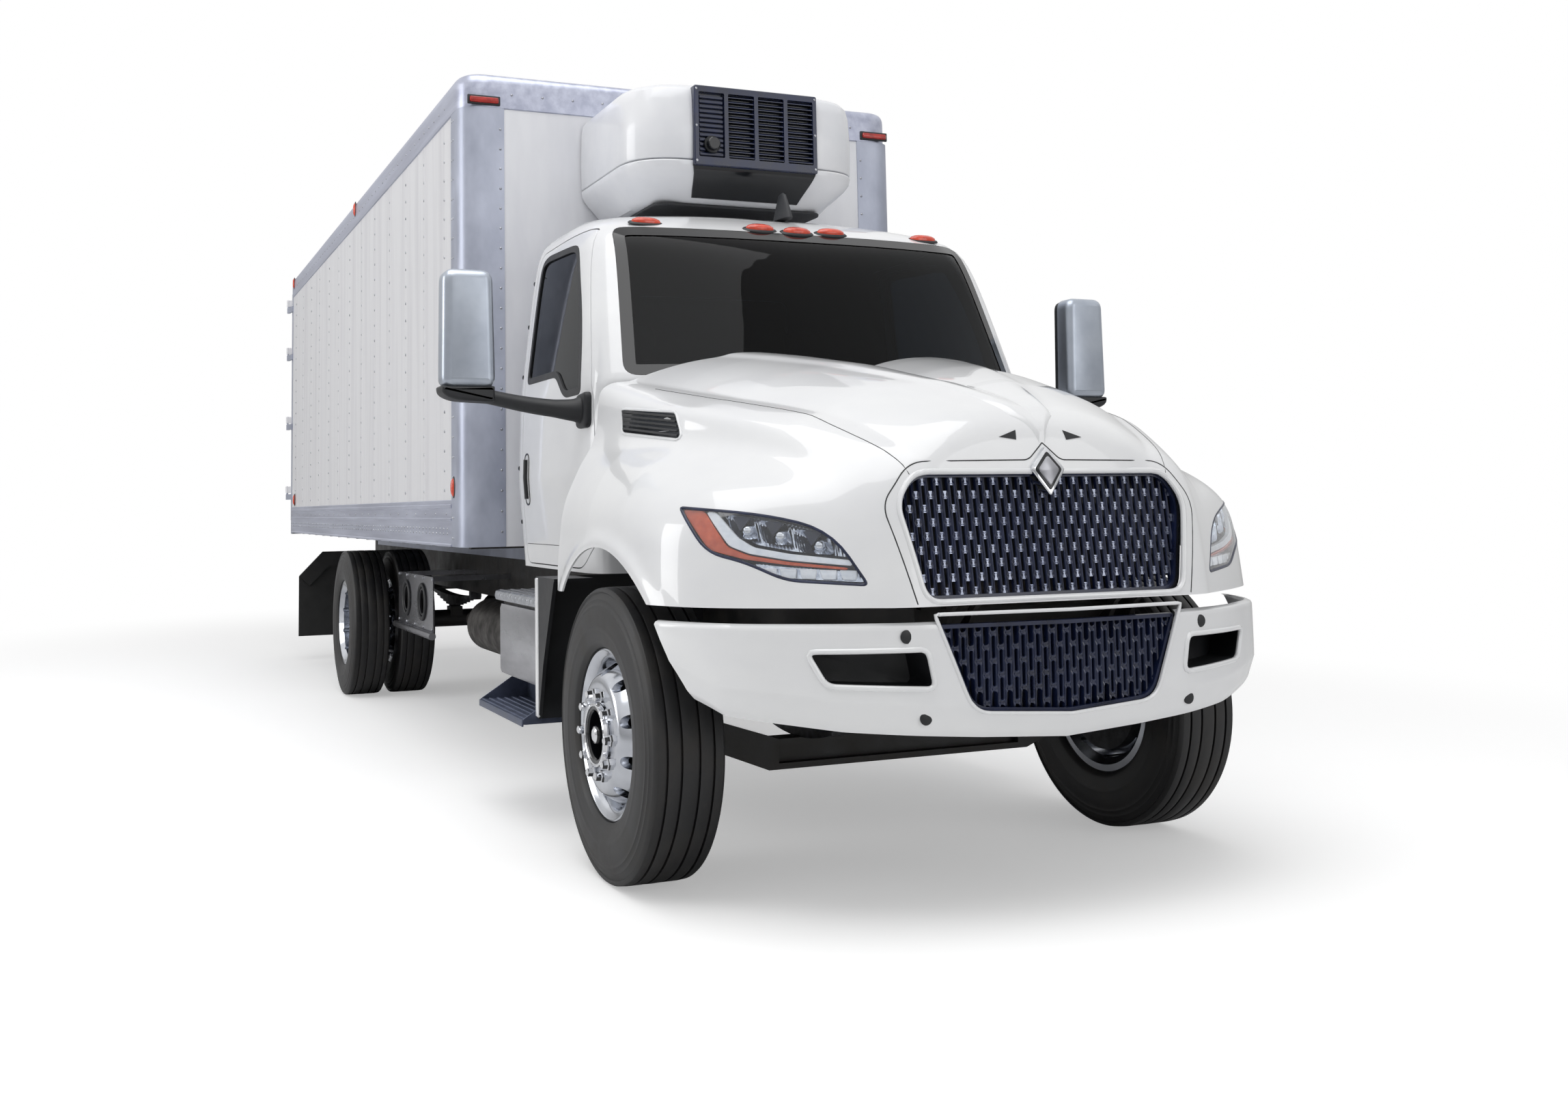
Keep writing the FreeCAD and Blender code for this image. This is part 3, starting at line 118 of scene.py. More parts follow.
def bends(c, back, ahead, radius, steps):
    """A quadratic curve at each corner c, from radius away along the side behind it to radius away
    along the side ahead, but never more than SHORT_SIDE of a side."""
    radius = np.broadcast_to(np.asarray(radius, float), len(c))[:, None]
    lb, la = np.linalg.norm(back, axis=1)[:, None], np.linalg.norm(ahead, axis=1)[:, None]
    a = c + back / lb * np.minimum(radius, lb * SHORT_SIDE)
    b = c + ahead / la * np.minimum(radius, la * SHORT_SIDE)
    t = np.linspace(0, 1, steps)[None, :, None]
    return (a[:, None] * (1 - t) ** 2 + 2 * c[:, None] * t * (1 - t) + b[:, None] * t ** 2).reshape(-1, c.shape[1])


def rounded(corners, radius, steps=5):
    """A closed outline with rounded corners."""
    c = np.array(corners, float)
    return bends(c, np.roll(c, 1, 0) - c, np.roll(c, -1, 0) - c, radius, steps)


def softened(line, radius, steps=9):
    """An open line with its inner corners rounded."""
    p = np.array(line, float)
    curve = bends(p[1:-1], p[:-2] - p[1:-1], p[2:] - p[1:-1], radius, steps)
    return np.concatenate([p[:1], curve, p[-1:]])


def inset(line, by):
    """A closed outline moved inwards: each point goes along the mean of its two sides' normals,
    far enough that both sides move by the same distance."""
    line = np.asarray(line, float)
    ahead, back = np.roll(line, -1, 0) - line, line - np.roll(line, 1, 0)
    unit = lambda w: w / np.maximum(np.linalg.norm(w, axis=1), 1e-9)[:, None]
    n1, n2 = unit(ahead) @ np.array([[0, 1], [-1, 0]]), unit(back) @ np.array([[0, 1], [-1, 0]])
    area = np.sum(line[:, 0] * np.roll(line[:, 1], -1) - np.roll(line[:, 0], -1) * line[:, 1])
    m = unit(n1 + n2)
    reach = np.maximum(np.sum(m * n1, 1), 0.5)[:, None]
    return line + m / reach * by * (1 if area > 0 else -1)


def dense(line, step=0.012):
    """The same closed outline with points every step along it."""
    p = np.concatenate([line, line[:1]])
    s = np.concatenate([[0], np.cumsum(np.hypot(*np.diff(p, axis=0).T))])
    t = np.arange(0, s[-1], step)
    return np.stack([np.interp(t, s, c) for c in p.T], -1)


def resampled(line, count):
    """A line with count points, spread evenly by their place in its list of points."""
    t, places = np.linspace(0, 1, count), np.linspace(0, 1, len(line))
    return np.stack([np.interp(t, places, c) for c in line.T], -1)


def floored(rings):
    """Rings closed by a floor: one more ring, drawn together at the middle of the last."""
    return np.concatenate([rings, rings[-1:].mean(1, keepdims=True) + 0 * rings[-1:]])


AXES = {"x": [1, 2, 0], "y": [0, 2, 1], "z": [0, 1, 2]}


def plate(line, axis, a, b, edge=0.002):
    """An outline carried along an axis from a to b, with its two rims rounded off by edge: a stack of
    four rings, the end ones drawn in, closed by the outline's own face."""
    line = np.asarray(line, float)
    a, b = min(a, b), max(a, b)
    small = inset(line, edge)
    rings = np.zeros((4, len(line), 3))
    for ring, flat, h in zip(rings, (small, line, line, small), (a, a + edge, b - edge, b)):
        ring[:, AXES[axis]] = xyz(*flat.T, h)
    return stacked(rings)


def bar(x0, x1, y0, y1, z0, z1, edge=0.003):
    """A box with rounded edges, carried along its longest side."""
    lo, hi = np.minimum((x0, y0, z0), (x1, y1, z1)), np.maximum((x0, y0, z0), (x1, y1, z1))
    k = int(np.argmax(hi - lo))
    i, j = [n for n in range(3) if n != k]
    line = rounded([(lo[i], lo[j]), (hi[i], lo[j]), (hi[i], hi[j]), (lo[i], hi[j])], edge * 1.8, 3)
    return plate(line, "xyz"[k], lo[k], hi[k], edge)


def lathe(profile, y, x=0.0, z=0.0, side=1, turns=96):
    """A closed profile of (radius, offset) points turned round a wheel's axle, which runs along Y."""
    r, o = np.array(profile, float).T
    a = full_turn(turns)[:, None]
    return grid(xyz(x + r * np.cos(a), y + side * o, z + r * np.sin(a)), close_u=True, close_v=True)


def tube(path, radius, sides=12, closed=False):
    """A round pipe along a path: at each point a circle stands square to the path's direction."""
    p = np.array(path, float)
    d = (np.roll(p, -1, 0) - np.roll(p, 1, 0)) if closed else np.gradient(p, axis=0)
    d /= np.linalg.norm(d, axis=1)[:, None]
    ref = np.array([0.0, 0.0, 1.0]) if np.abs(d[:, 2]).max() < 0.9 else np.array([0.3, 1.0, 0.1])
    e = np.cross(d, ref); e /= np.linalg.norm(e, axis=1)[:, None]
    f = np.cross(d, e)
    a = full_turn(sides)[None, :, None]
    r = np.broadcast_to(np.asarray(radius, float), len(p))[:, None, None]
    ring = p[:, None] + r * (np.cos(a) * e[:, None] + np.sin(a) * f[:, None])
    if not closed:
        ends = [np.repeat(q[None, None], sides, 1) for q in (p[0], p[-1])]
        ring = np.concatenate([ends[0], ring, ends[1]])
    return grid(ring, close_u=closed, close_v=True)


def studs(places, normals, radius, height, sides=8):
    """Many round heads at once: rings of a small dome, copied to every place along its normal."""
    c = np.array(places, float).reshape(-1, 3)
    n = np.broadcast_to(np.array(normals, float), c.shape)
    ref = np.where(np.abs(n[:, 2:]) > 0.9, (1.0, 0, 0), (0, 0, 1.0))
    e = np.cross(n, ref); e /= np.linalg.norm(e, axis=1)[:, None]
    f = np.cross(n, e)
    a = full_turn(sides)[:, None]
    circle = np.cos(a)[None] * e[:, None] + np.sin(a)[None] * f[:, None]
    dome = ((1, -0.4), (1, 0.25), (0.72, 0.8), (0.0, 1.0))
    return copies(np.stack([c[:, None] + n[:, None] * up * height + circle * radius * share
                            for share, up in dome], 1))


# %% [markdown]
# A piece becomes a Blender object in one step: its shapes are joined, doubled points are merged, its
# faces turned outwards, and smooth shading is kept except over edges sharper than an angle.
# %% Making pieces and cutting holes
def object_from(name, shapes):
    """Joins the shapes of one piece into a clean mesh, moved from the axle's frame to the truck's."""
    points, faces, count = [], [], 0
    for p, f in shapes:
        p = np.asarray(p, float).reshape(-1, 3)
        points.append(p)
        faces += (f + count).tolist() if isinstance(f, np.ndarray) else [[i + count for i in q] for q in f]
        count += len(p)
    mesh = bpy.data.meshes.new(name)
    mesh.from_pydata(np.concatenate(points) + (AXLE_X, 0, 0), [], faces)
    thing = bpy.data.objects.new(name, mesh)
    bpy.context.scene.collection.objects.link(thing)
    cells = bmesh.new()
    cells.from_mesh(mesh)
    bmesh.ops.remove_doubles(cells, verts=cells.verts, dist=1e-5)
    bmesh.ops.dissolve_degenerate(cells, dist=1e-6, edges=cells.edges)
    bmesh.ops.recalc_face_normals(cells, faces=cells.faces)
    cells.to_mesh(mesh)
    cells.free()
    return thing


FEWEST_FACES = 50
CUT_EDGE = 0.0005


def cut(thing, shapes, keep_inside=False):
    """Takes the shapes away from a closed piece, or keeps only what lies inside them. A result with
    hardly any faces is a failed cut, and is made again with the solver that tolerates holes."""
    tool, before = object_from("cutter", shapes), thing.data
    for tolerant in (False, True):
        change = thing.modifiers.new("cut", "BOOLEAN")
        change.operation, change.solver, change.object = "INTERSECT" if keep_inside else "DIFFERENCE", "EXACT", tool
        change.use_hole_tolerant = tolerant
        bpy.context.view_layer.update()
        seen = thing.evaluated_get(bpy.context.evaluated_depsgraph_get())
        made = bpy.data.meshes.new_from_object(seen)
        thing.modifiers.clear()
        thing.data = made
        if len(made.polygons) > FEWEST_FACES:
            break
        thing.data = before
    bpy.data.objects.remove(tool)


def finish_piece(thing, material, body, slot, hides=(), crease=32):
    """Gives a piece its material, shading and body, and hides the frame's nodes that it stands for. The slot argument
    is not used.
    """
    thing.data.materials.clear()
    thing.data.materials.append(material)
    thing.data.polygons.foreach_set("use_smooth", np.ones(len(thing.data.polygons), bool))
    thing.data.set_sharp_from_angle(angle=np.radians(crease))
    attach(thing, body)
    if hides:
        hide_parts(*hides)
    return thing


def piece(name, shapes, material, body, slot, hides=(), crease=32):
    """A finished piece straight from its shapes."""
    return finish_piece(object_from(name, shapes), material, body, slot, hides, crease)


# %% [markdown]
# ## Camera
# A long-wheelbase truck seen from near its right front corner, low down. The rise of the view is small
# and a little lens shift keeps the upright edges upright.
# %% Camera
camera = bpy.data.objects.new("camera", bpy.data.cameras.new("camera"))
bpy.context.scene.collection.objects.link(camera)
heading, rise, roll = 2.7552, 0.0819, -0.0154
turn = (Matrix.Rotation(heading - np.pi / 2, 4, "Z") @ Matrix.Rotation(np.pi / 2 + rise, 4, "X")
        @ Matrix.Rotation(roll, 4, "Z"))
camera.matrix_world = Matrix.Translation((AXLE_X + 4.896, -2.8254, 1.3082)) @ turn
camera.data.sensor_width, camera.data.lens = 36.0, 33.06
camera.data.shift_x, camera.data.shift_y = 0.0604, -0.1008
camera.data.clip_end = 500
bpy.context.scene.camera = camera

# %% [markdown]
# ## Light
# A studio for a truck is a white sweep with one broad soft lamp overhead and a weaker one in front.
# The world is white where the camera or a reflection meets it, and dimmer as a source of light.
# %% World and lamps
def hexcolour(text, alpha=1.0):
    """sRGB hex to linear: c / 12.92 below 0.04045, else ((c + 0.055) / 1.055) to the power 2.4."""
    c = np.array([int(text[i:i + 2], 16) / 255 for i in (1, 3, 5)])
    return (*np.where(c <= 0.04045, c / 12.92, ((c + 0.055) / 1.055) ** 2.4), alpha)


def node(tree, kind, inputs=None, **settings):
    """Adds a node and sets its attributes. An input that is given a node or a socket is linked to it;
    any other input takes the value."""
    made = tree.nodes.new("ShaderNode" + kind)
    for key, value in settings.items():
        setattr(made, key, value)
    for key, value in (inputs or {}).items():
        if isinstance(value, (bpy.types.Node, bpy.types.NodeSocket)):
            tree.links.new(getattr(value, "outputs", [value])[0], made.inputs[key])
        else:
            made.inputs[key].default_value = value
    return made


WHITE = hexcolour("#FFFFFF")
scene = bpy.context.scene
scene.view_settings.view_transform = "Standard"
world = bpy.data.worlds.new("studio")
scene.world = world
world.use_nodes = True
sky = world.node_tree
sky.nodes.clear()
ray = node(sky, "LightPath").outputs
seen = node(sky, "Math", {0: ray["Is Camera Ray"], 1: ray["Is Transmission Ray"]}, operation="MAXIMUM")
height = node(sky, "SeparateXYZ", {0: node(sky, "TexCoord").outputs["Generated"]})
band = node(sky, "MapRange", {"From Min": -0.10, "From Max": 0.55, "To Min": 0.34, "To Max": 0.95,
                              "Value": height.outputs["Z"]})
mirror_light = node(sky, "Mix", {"A": 0.41, "Factor": ray["Is Glossy Ray"], "B": band})
strength = node(sky, "Mix", {"B": 1.0, "Factor": seen, "A": mirror_light})
node(sky, "OutputWorld", {0: node(sky, "Background", {"Color": WHITE, "Strength": strength})})


def lamp(name, place, aim, size, power):
    """A square white area lamp at a place, aimed at a point; place, aim and size in metres."""
    light = bpy.data.lights.new(name, "AREA")
    light.shape, light.size, light.energy = "SQUARE", size, power
    thing = bpy.data.objects.new(name, light)
    scene.collection.objects.link(thing)
    here = np.array(place, float) + (AXLE_X, 0, 0)
    way = np.array(aim, float) + (AXLE_X, 0, 0) - here
    thing.rotation_mode, thing.location = "QUATERNION", here
    thing.rotation_quaternion = Vector(way).to_track_quat("-Z", "Y")


lamp("overhead", (1.0, -2.0, 9.0), (-2.0, 0, 0.5), 8.0, 430)
lamp("front", (9.0, 4.5, 4.0), (0.0, 0.0, 1.2), 5.0, 110)
lamp("side", (-6.0, -12.0, 4.0), (-6.0, 0.0, 1.8), 6.0, 380)

# %% [markdown]
# The floor is the pale sweep itself. Its own colour does the work: it takes the truck's shadow, and a
# little of it is lit for the camera alone, so that it runs into the white behind it.
# %% Floor
sweep = bpy.data.materials.new("painted_studio_floor")
sweep.use_nodes = True
tree = sweep.node_tree
tree.nodes.clear()
for_camera = node(tree, "LightPath").outputs["Is Camera Ray"]
middle = node(tree, "Mapping", {"Scale": (0.12, 0.22, 1.0), "Vector": node(tree, "TexCoord").outputs["Object"]})
away = node(tree, "VectorMath", {0: middle}, operation="LENGTH")
far = node(tree, "MapRange", {"From Min": 0.75, "From Max": 1.45, "Value": away.outputs["Value"]},
           interpolation_type="SMOOTHSTEP")
share = node(tree, "Math", {0: far, 1: for_camera}, operation="MULTIPLY")
lift = node(tree, "Math", {1: 0.36, 0: for_camera}, operation="MULTIPLY")
glow = node(tree, "Emission", {"Color": WHITE, "Strength": lift})
near = node(tree, "AddShader", {0: node(tree, "BsdfDiffuse", {"Color": hexcolour("#F4F4F4")}), 1: glow})
blend = node(tree, "MixShader", {0: share, 1: near, 2: node(tree, "Emission", {"Color": WHITE, "Strength": 1.0})})
node(tree, "OutputMaterial", {"Surface": blend})
FLOOR_HALF, FLOOR_POINTS = 60, 13
s = np.linspace(-FLOOR_HALF, FLOOR_HALF, FLOOR_POINTS)
floor = object_from("floor", [grid(xyz(s[:, None], s[None, :], 0.0))])
floor.data.materials.append(sweep)

# %% [markdown]
# ## Materials
# Each finish starts from what the real one is: paint over primer, rolled aluminium, galvanised steel,
# moulded rubber. A slow pattern moves its colour and gloss, and a fine one gives it relief.
# %% The common ground of a finish
NOISE = ("TexNoise", "Fac", {})
ETCHED = ("TexVoronoi", "Distance", {"feature": "SMOOTH_F1"})


def waves_along(way):
    """Fine parallel lines that follow one another along an axis or a diagonal."""
    return "TexWave", "Fac", {"bands_direction": way}


def finish(name, low, high, rough, drift, relief=None, depth=0.0, pattern=NOISE, levels=(0.35, 0.68),
           strength=0.5, **sockets):
    """A slow noise, drift metres across (one size or one each in x, y and z), runs the colour from low
    to high and the roughness over its two values. A pattern (texture, output, settings) with features
    relief metres across and depth metres tall bends the normal."""
    made = bpy.data.materials.new(name)
    made.use_nodes = True
    tree = made.node_tree
    tree.nodes.clear()
    place = node(tree, "TexCoord").outputs["Object"]
    scaled = lambda size: node(tree, "Mapping", {"Scale": list(1 / np.broadcast_to(size, 3)), "Vector": place})
    cloud = node(tree, "TexNoise", {"Scale": 1.0, "Detail": 4.0, "Roughness": 0.6, "Vector": scaled(drift)})
    share = node(tree, "MapRange", {"From Min": levels[0], "From Max": levels[1], "Value": cloud})
    mix = node(tree, "Mix", {6: hexcolour(low), 7: hexcolour(high), 0: share}, data_type="RGBA")
    gloss = node(tree, "MapRange", {"To Min": rough[0], "To Max": rough[1], "Value": share})
    shader = node(tree, "BsdfPrincipled", {"Base Color": mix.outputs[2], "Roughness": gloss})
    for key, value in sockets.items():
        shader.inputs[key.replace("_", " ")].default_value = value
    if relief:
        kind, output, settings = pattern
        fine = node(tree, kind, {"Scale": 1.0, "Vector": scaled(relief)}, **settings)
        bump = node(tree, "Bump", {"Strength": strength, "Distance": depth, "Height": fine.outputs[output]})
        tree.links.new(bump.outputs[0], shader.inputs["Normal"])
    node(tree, "OutputMaterial", {"Surface": shader})
    return made


# %% [markdown]
# Truck paint is a pale polyester base under clear lacquer. The lacquer gives the sharp highlight and
# its faint orange peel, waves some 6 mm long; the base under it is duller and greys a little in drifts.
# Box sheet is baked paint on aluminium: low even gloss, and a slight bow between its rivets.
# %% Painted finishes
CAB_PAINT = finish("clearcoat_white_paint", "#F0F1F2", "#E6E7EA", (0.30, 0.36), (0.9, 0.9, 0.5),
                   0.006, 0.00008, strength=0.25,
                   IOR=1.5, Coat_Weight=0.9, Coat_Roughness=0.03)
REEFER_SKIN = finish("gelcoat_white_moulding", "#EAEBEE", "#DDDFE4", (0.32, 0.42), (0.5, 0.5, 0.5),
                     0.03, 0.0004, strength=0.3,
                     IOR=1.5, Coat_Weight=0.6, Coat_Roughness=0.06)
BOX_SHEET = finish("prepainted_aluminium_sheet", "#E4E4E7", "#CFCED3", (0.36, 0.48), (0.12, 0.12, 2.2),
                   (0.26, 0.26, 0.9), 0.006, levels=(0.45, 0.85), strength=0.6,
                   IOR=1.5, Coat_Weight=0.25, Coat_Roughness=0.12)
BOX_FRONT = finish("prepainted_front_panel", "#E6E7EB", "#D8D9DF", (0.40, 0.50), (0.3, 0.3, 1.2),
                   (0.5, 0.5, 0.9), 0.003, strength=0.4, IOR=1.5)

# %% [markdown]
# Galvanised steel freezes in flat crystals, the spangle, each with its own tilt. One random number per
# cell of a cell pattern gives each crystal its own height, so each one catches the light differently.
# %% Metals
GALVANISED = finish("galvanised_steel", "#9DA2B2", "#BCC1D0", (0.34, 0.48), (0.3, 0.3, 0.5),
                    0.012, 0.0004,
                    ("TexVoronoi", "Color", {"feature": "F1"}), strength=0.35, Metallic=0.55)
RAIL_ALUMINIUM = finish("mill_finish_aluminium", "#ABAFC2", "#C4C8D8", (0.28, 0.38), (0.9, 0.05, 0.05),
                        (0.3, 0.002, 0.002), 0.0001, Metallic=0.65)
POLISHED = finish("polished_forged_aluminium", "#D3D6DC", "#B4B7BE", (0.13, 0.22), 0.25, Metallic=1.0)
CHROME = finish("chrome_plated_steel", "#E4E5E8", "#CFD1D5", (0.04, 0.09), 0.03, Metallic=1.0)
BRUSHED = finish("brushed_aluminium_sheet", "#B9BABF", "#8F8F94", (0.24, 0.34), (0.9, 0.3, 0.22),
                 (0.2, 0.0015, 0.0015), 0.00003, Metallic=1.0)
BRIGHT_STEEL = finish("zinc_plated_steel", "#B9BBC0", "#8C8E94", (0.28, 0.46), 0.06,
                      0.004, 0.0002, Metallic=1.0)
MUFFLER_STEEL = finish("heat_stained_steel", "#4A4643", "#2B2927", (0.42, 0.60), 0.09,
                       0.01, 0.0006, Metallic=0.9)
CASTING = finish("grey_iron_casting", "#3E3F42", "#2A2A2B", (0.55, 0.72), 0.05,
                 0.003, 0.0012, Metallic=0.5)

# %% [markdown]
# Tyre rubber is black with soot and dull; slow drifts of a lighter brown in it are painted sheen. Moulded plastics
# are nearer to neutral; their moulds are etched, which leaves a fine grain with cells 2 to 4 mm across.
# The grille is dark blue. Its lands are pale, a painted highlight, and its slot walls are a paler blue, painted
# light, so that each slot reads as deep. The felt that lines the cab is almost black, painted shade for the dim cab,
# and quite dull, and keeps the windows dark.
# %% Rubber, plastic and cloth
# The lighter brown drifts in this rubber are painted sheen.
TYRE_RUBBER = finish("vulcanised_tyre_rubber", "#151517", "#2B2825", (0.48, 0.62), 0.15,
                     0.003, 0.0005, levels=(0.45, 0.8), IOR=1.52)
FLAP_RUBBER = finish("calendered_rubber_sheet", "#121213", "#232323", (0.62, 0.75), 0.12,
                     0.004, 0.0006)
BLACK_PLASTIC = finish("moulded_black_polypropylene", "#121316", "#1E2024", (0.42, 0.56), 0.2,
                       0.003, 0.0004, ETCHED)
GLOSS_BLACK = finish("gloss_black_plastic", "#0C0E12", "#14171C", (0.14, 0.20), 0.2, IOR=1.5)
NAVY_PLASTIC = finish("satin_dark_blue_plastic", "#121A33", "#1B2546", (0.26, 0.36), 0.1,
                      0.004, 0.0001, Coat_Weight=0.3, Coat_Roughness=0.12)
# Painted highlight and painted light: the pale lands and the paler slot walls stand for light falling on the grille's
# dark blue plastic.
GRILLE_LAND_HIGHLIGHT = finish("grille_land_painted_highlight", "#A9AFC0", "#7F869C", (0.26, 0.36), (0.2, 0.4, 0.4), Metallic=0.6)
GRILLE_WALL_PAINTED_LIGHT = finish("grille_wall_painted_light", "#565E7A", "#3B4360", (0.34, 0.44), (0.2, 0.4, 0.4), Metallic=0.3)
CHASSIS_ENAMEL = finish("chassis_black_enamel", "#161618", "#2C2926", (0.42, 0.62), 0.12,
                        0.006, 0.0006)
DASH_VINYL = finish("moulded_grey_vinyl", "#232529", "#303236", (0.55, 0.68), 0.2,
                    0.002, 0.0004, ETCHED)
# Painted shade: the lining is taken nearly black to stand for the shade inside the cab.
CAB_LINING_PAINTED_SHADE = finish("felt_lining_painted_shade", "#0D0E11", "#141519", (0.85, 0.95), 0.1,
                  0.002, 0.0004)
SEAT_CLOTH = finish("woven_polyester_seat_cloth", "#24272C", "#3A3E45", (0.85, 0.95), (0.02, 0.004, 0.004),
                    0.012, 0.0008, waves_along("DIAGONAL"),
                    Sheen_Weight=0.35, Sheen_Roughness=0.4)

# %% [markdown]
# Glass and lenses let light through. Cab glass is green-grey in the pane, and its rim is fired black
# enamel. Its index is set to 1.2, under the 1.5 of real glass, so that in a white studio the windows
# mirror less and stay dark; the rear window is privacy glass, nearly black. Lamp lenses are clear or
# dyed polycarbonate, with ribs moulded behind the dye.
# %% Glass and lamps
CAB_GLASS = finish("tinted_laminated_glass", "#39444D", "#35404A", (0.0, 0.01), 1.0,
                   IOR=1.2, Transmission_Weight=1.0)
PRIVACY_GLASS = finish("dark_privacy_glass", "#101418", "#0E1215", (0.0, 0.01), 1.0,
                       IOR=1.2, Transmission_Weight=1.0)
CLEAR_LENS = finish("clear_polycarbonate_lens", "#F6F8FA", "#EEF2F6", (0.0, 0.02), 0.2,
                    IOR=1.49, Transmission_Weight=1.0)
FRIT = finish("black_ceramic_enamel", "#0A0B0E", "#0F1116", (0.08, 0.12), 0.2, IOR=1.5)
MIRROR_GLASS = finish("silvered_mirror_glass", "#E8EAEE", "#DFE1E6", (0.02, 0.04), 0.1, Metallic=1.0)
MIRROR_SHELL = finish("satin_chrome_on_plastic", "#BBC2CC", "#A3AAB6", (0.30, 0.38), 0.3, Metallic=0.85)
REFLECTOR = finish("aluminised_reflector", "#DCE0E8", "#A8AEBC", (0.08, 0.18), 0.02,
                   0.03, 0.0008, waves_along("Y"), Metallic=1.0)
LAMP_SEAL = finish("dark_blue_lamp_seal", "#1A2138", "#262E4C", (0.28, 0.36), 0.05)
dyed = dict(rough=(0.08, 0.14), drift=0.03, relief=0.05, depth=0.001, pattern=waves_along("Z"), IOR=1.49,
            Coat_Weight=0.6, Coat_Roughness=0.03)
AMBER = finish("amber_polycarbonate_lens", "#E4602F", "#C9481C", Emission_Color=hexcolour("#E8602E"),
               Emission_Strength=0.06, **dyed)
RED = finish("red_polycarbonate_lens", "#BE2A20", "#8E1812", **dyed)
MARKER = finish("orange_red_marker_lens", "#E24E30", "#BC3219", Emission_Color=hexcolour("#E24E30"),
                Emission_Strength=0.05, **dyed)
LIGHT_GUIDE = finish("white_acrylic_light_guide", "#F6F8FC", "#E4E9F2", Emission_Color=WHITE,
                     Emission_Strength=0.15, **dyed)
print("finishes made:", len(bpy.data.materials))

# %% [markdown]
# Five-bar tread plate is rolled with short ribs that turn a quarter from one square to the next. The
# height is the size of the product of two sine waves, one long and one short, swapped by a checker.
# %% Tread plate
TREAD = finish("rolled_tread_plate", "#B4B7BD", "#9A9DA4", (0.26, 0.36), 0.1, Metallic=1.0)
tree = TREAD.node_tree
squares = node(tree, "Mapping", {"Scale": (32, 32, 1), "Vector": node(tree, "TexCoord").outputs["Object"]})
plan = node(tree, "SeparateXYZ", {0: squares}).outputs


def crossed_waves(*counts):
    """The size of the product of two sines, that turn over counts times in a square along X and Y."""
    sines = [node(tree, "Math", {0: node(tree, "Math", {1: np.pi * n, 0: plan[axis]}, operation="MULTIPLY")},
                  operation="SINE") for axis, n in enumerate(counts)]
    product = node(tree, "Math", {0: sines[0], 1: sines[1]}, operation="MULTIPLY")
    return node(tree, "Math", {0: product}, operation="ABSOLUTE")


checks = node(tree, "TexChecker", {"Scale": 1.0, "Vector": squares})
rib = node(tree, "Mix", {0: checks.outputs["Fac"], 2: crossed_waves(1, 3), 3: crossed_waves(3, 1)})
step = node(tree, "MapRange", {"From Min": 0.45, "From Max": 0.75, "Value": rib})
bump = node(tree, "Bump", {"Strength": 0.9, "Distance": 0.002, "Height": step})
tree.links.new(bump.outputs[0], tree.nodes["Principled BSDF"].inputs["Normal"])

# %% [markdown]
# The frame's own parts that already have the right shape only need the right finish. They are named
# in one table, from finish to parts; each mesh keeps its place and shape.
# %% Finishes on the frame's own parts
WORN = {
    CHASSIS_ENAMEL: "frame_rails crossmembers front_axle rear_axle tie_rod knuckle_left knuckle_right driveshaft "
                    "hood_hinge underride_guard floor_beams",
    CASTING: "engine_block front_springs rear_springs",
    BRUSHED: "fuel_tank equipment_panel",
    MUFFLER_STEEL: "muffler radiator",
    GALVANISED: "body_sills box_floor box_rear_frame",
    CAB_PAINT: "cab_shell hood front_bumper cab_door_left cab_door_right",
    CAB_GLASS: "cab_glass door_glass_left door_glass_right",
    BLACK_PLASTIC: "bumper_grille splash_guards dashboard",
    DASH_VINYL: "steering_wheel",
    SEAT_CLOTH: "seats",
    NAVY_PLASTIC: "grille",
    CLEAR_LENS: "headlamps",
    BOX_SHEET: "box_side_walls box_roof rear_door_left rear_door_right",
    BOX_FRONT: "box_front_wall",
    REEFER_SKIN: "refrigeration_unit",
    TREAD: "cab_steps battery_box",
    MIRROR_SHELL: "door_mirror_left door_mirror_right",
    FLAP_RUBBER: "mud_flaps",
    TYRE_RUBBER: "front_left_tyre front_right_tyre rear_left_tyres rear_right_tyres",
    POLISHED: "front_left_wheel front_right_wheel rear_left_wheels rear_right_wheels",
}
for worn, names in WORN.items():
    for name in names.split():
        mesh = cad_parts[name].data
        mesh.materials.clear()
        mesh.materials.append(worn)
print("parts of the frame given a finish:", sum(len(n.split()) for n in WORN.values()))

# %% [markdown]
# ## Hood
# A one-piece truck hood is moulded: every edge of it is a blend. So it is written as a distance-like
# function that is negative inside: a skin round the long axis, and a swept nose, joined by a smooth
# maximum. Rays from inside meet it at the places where the function is zero.
# %% A form as a function, met by rays
def smooth_max(a, b, r):
    """The larger of two values, blended where they differ by less than about r."""
    return (a + b + np.sqrt((a - b) ** 2 + r ** 2)) / 2


HALVINGS = 34


def meet(form, start, way, far, level=0.0):
    """Where rays from start along way leave a form, at most far away: halvings of all rays at once."""
    start, way = np.broadcast_arrays(np.asarray(start, float), np.asarray(way, float))
    low, high = np.zeros(way.shape[:-1]), np.full(way.shape[:-1], float(far))
    for _ in range(HALVINGS):
        mid = (low + high) / 2
        inside = form(start + way * mid[..., None]) < level
        low, high = np.where(inside, mid, low), np.where(inside, high, mid)
    return start + way * low[..., None]


def looked_up(table, rows, columns, u, v):
    """A table's value between its grid lines, weighted by nearness in both directions."""
    i = np.clip((u - rows[0]) / (rows[1] - rows[0]), 0, len(rows) - 1.001)
    j = np.clip(v / (columns[1] - columns[0]), 0, len(columns) - 1.001)
    i0, j0 = i.astype(int), j.astype(int)
    fi, fj = i - i0, j - j0
    return ((table[i0, j0] * (1 - fj) + table[i0, j0 + 1] * fj) * (1 - fi)
            + (table[i0 + 1, j0] * (1 - fj) + table[i0 + 1, j0 + 1] * fj) * fi)


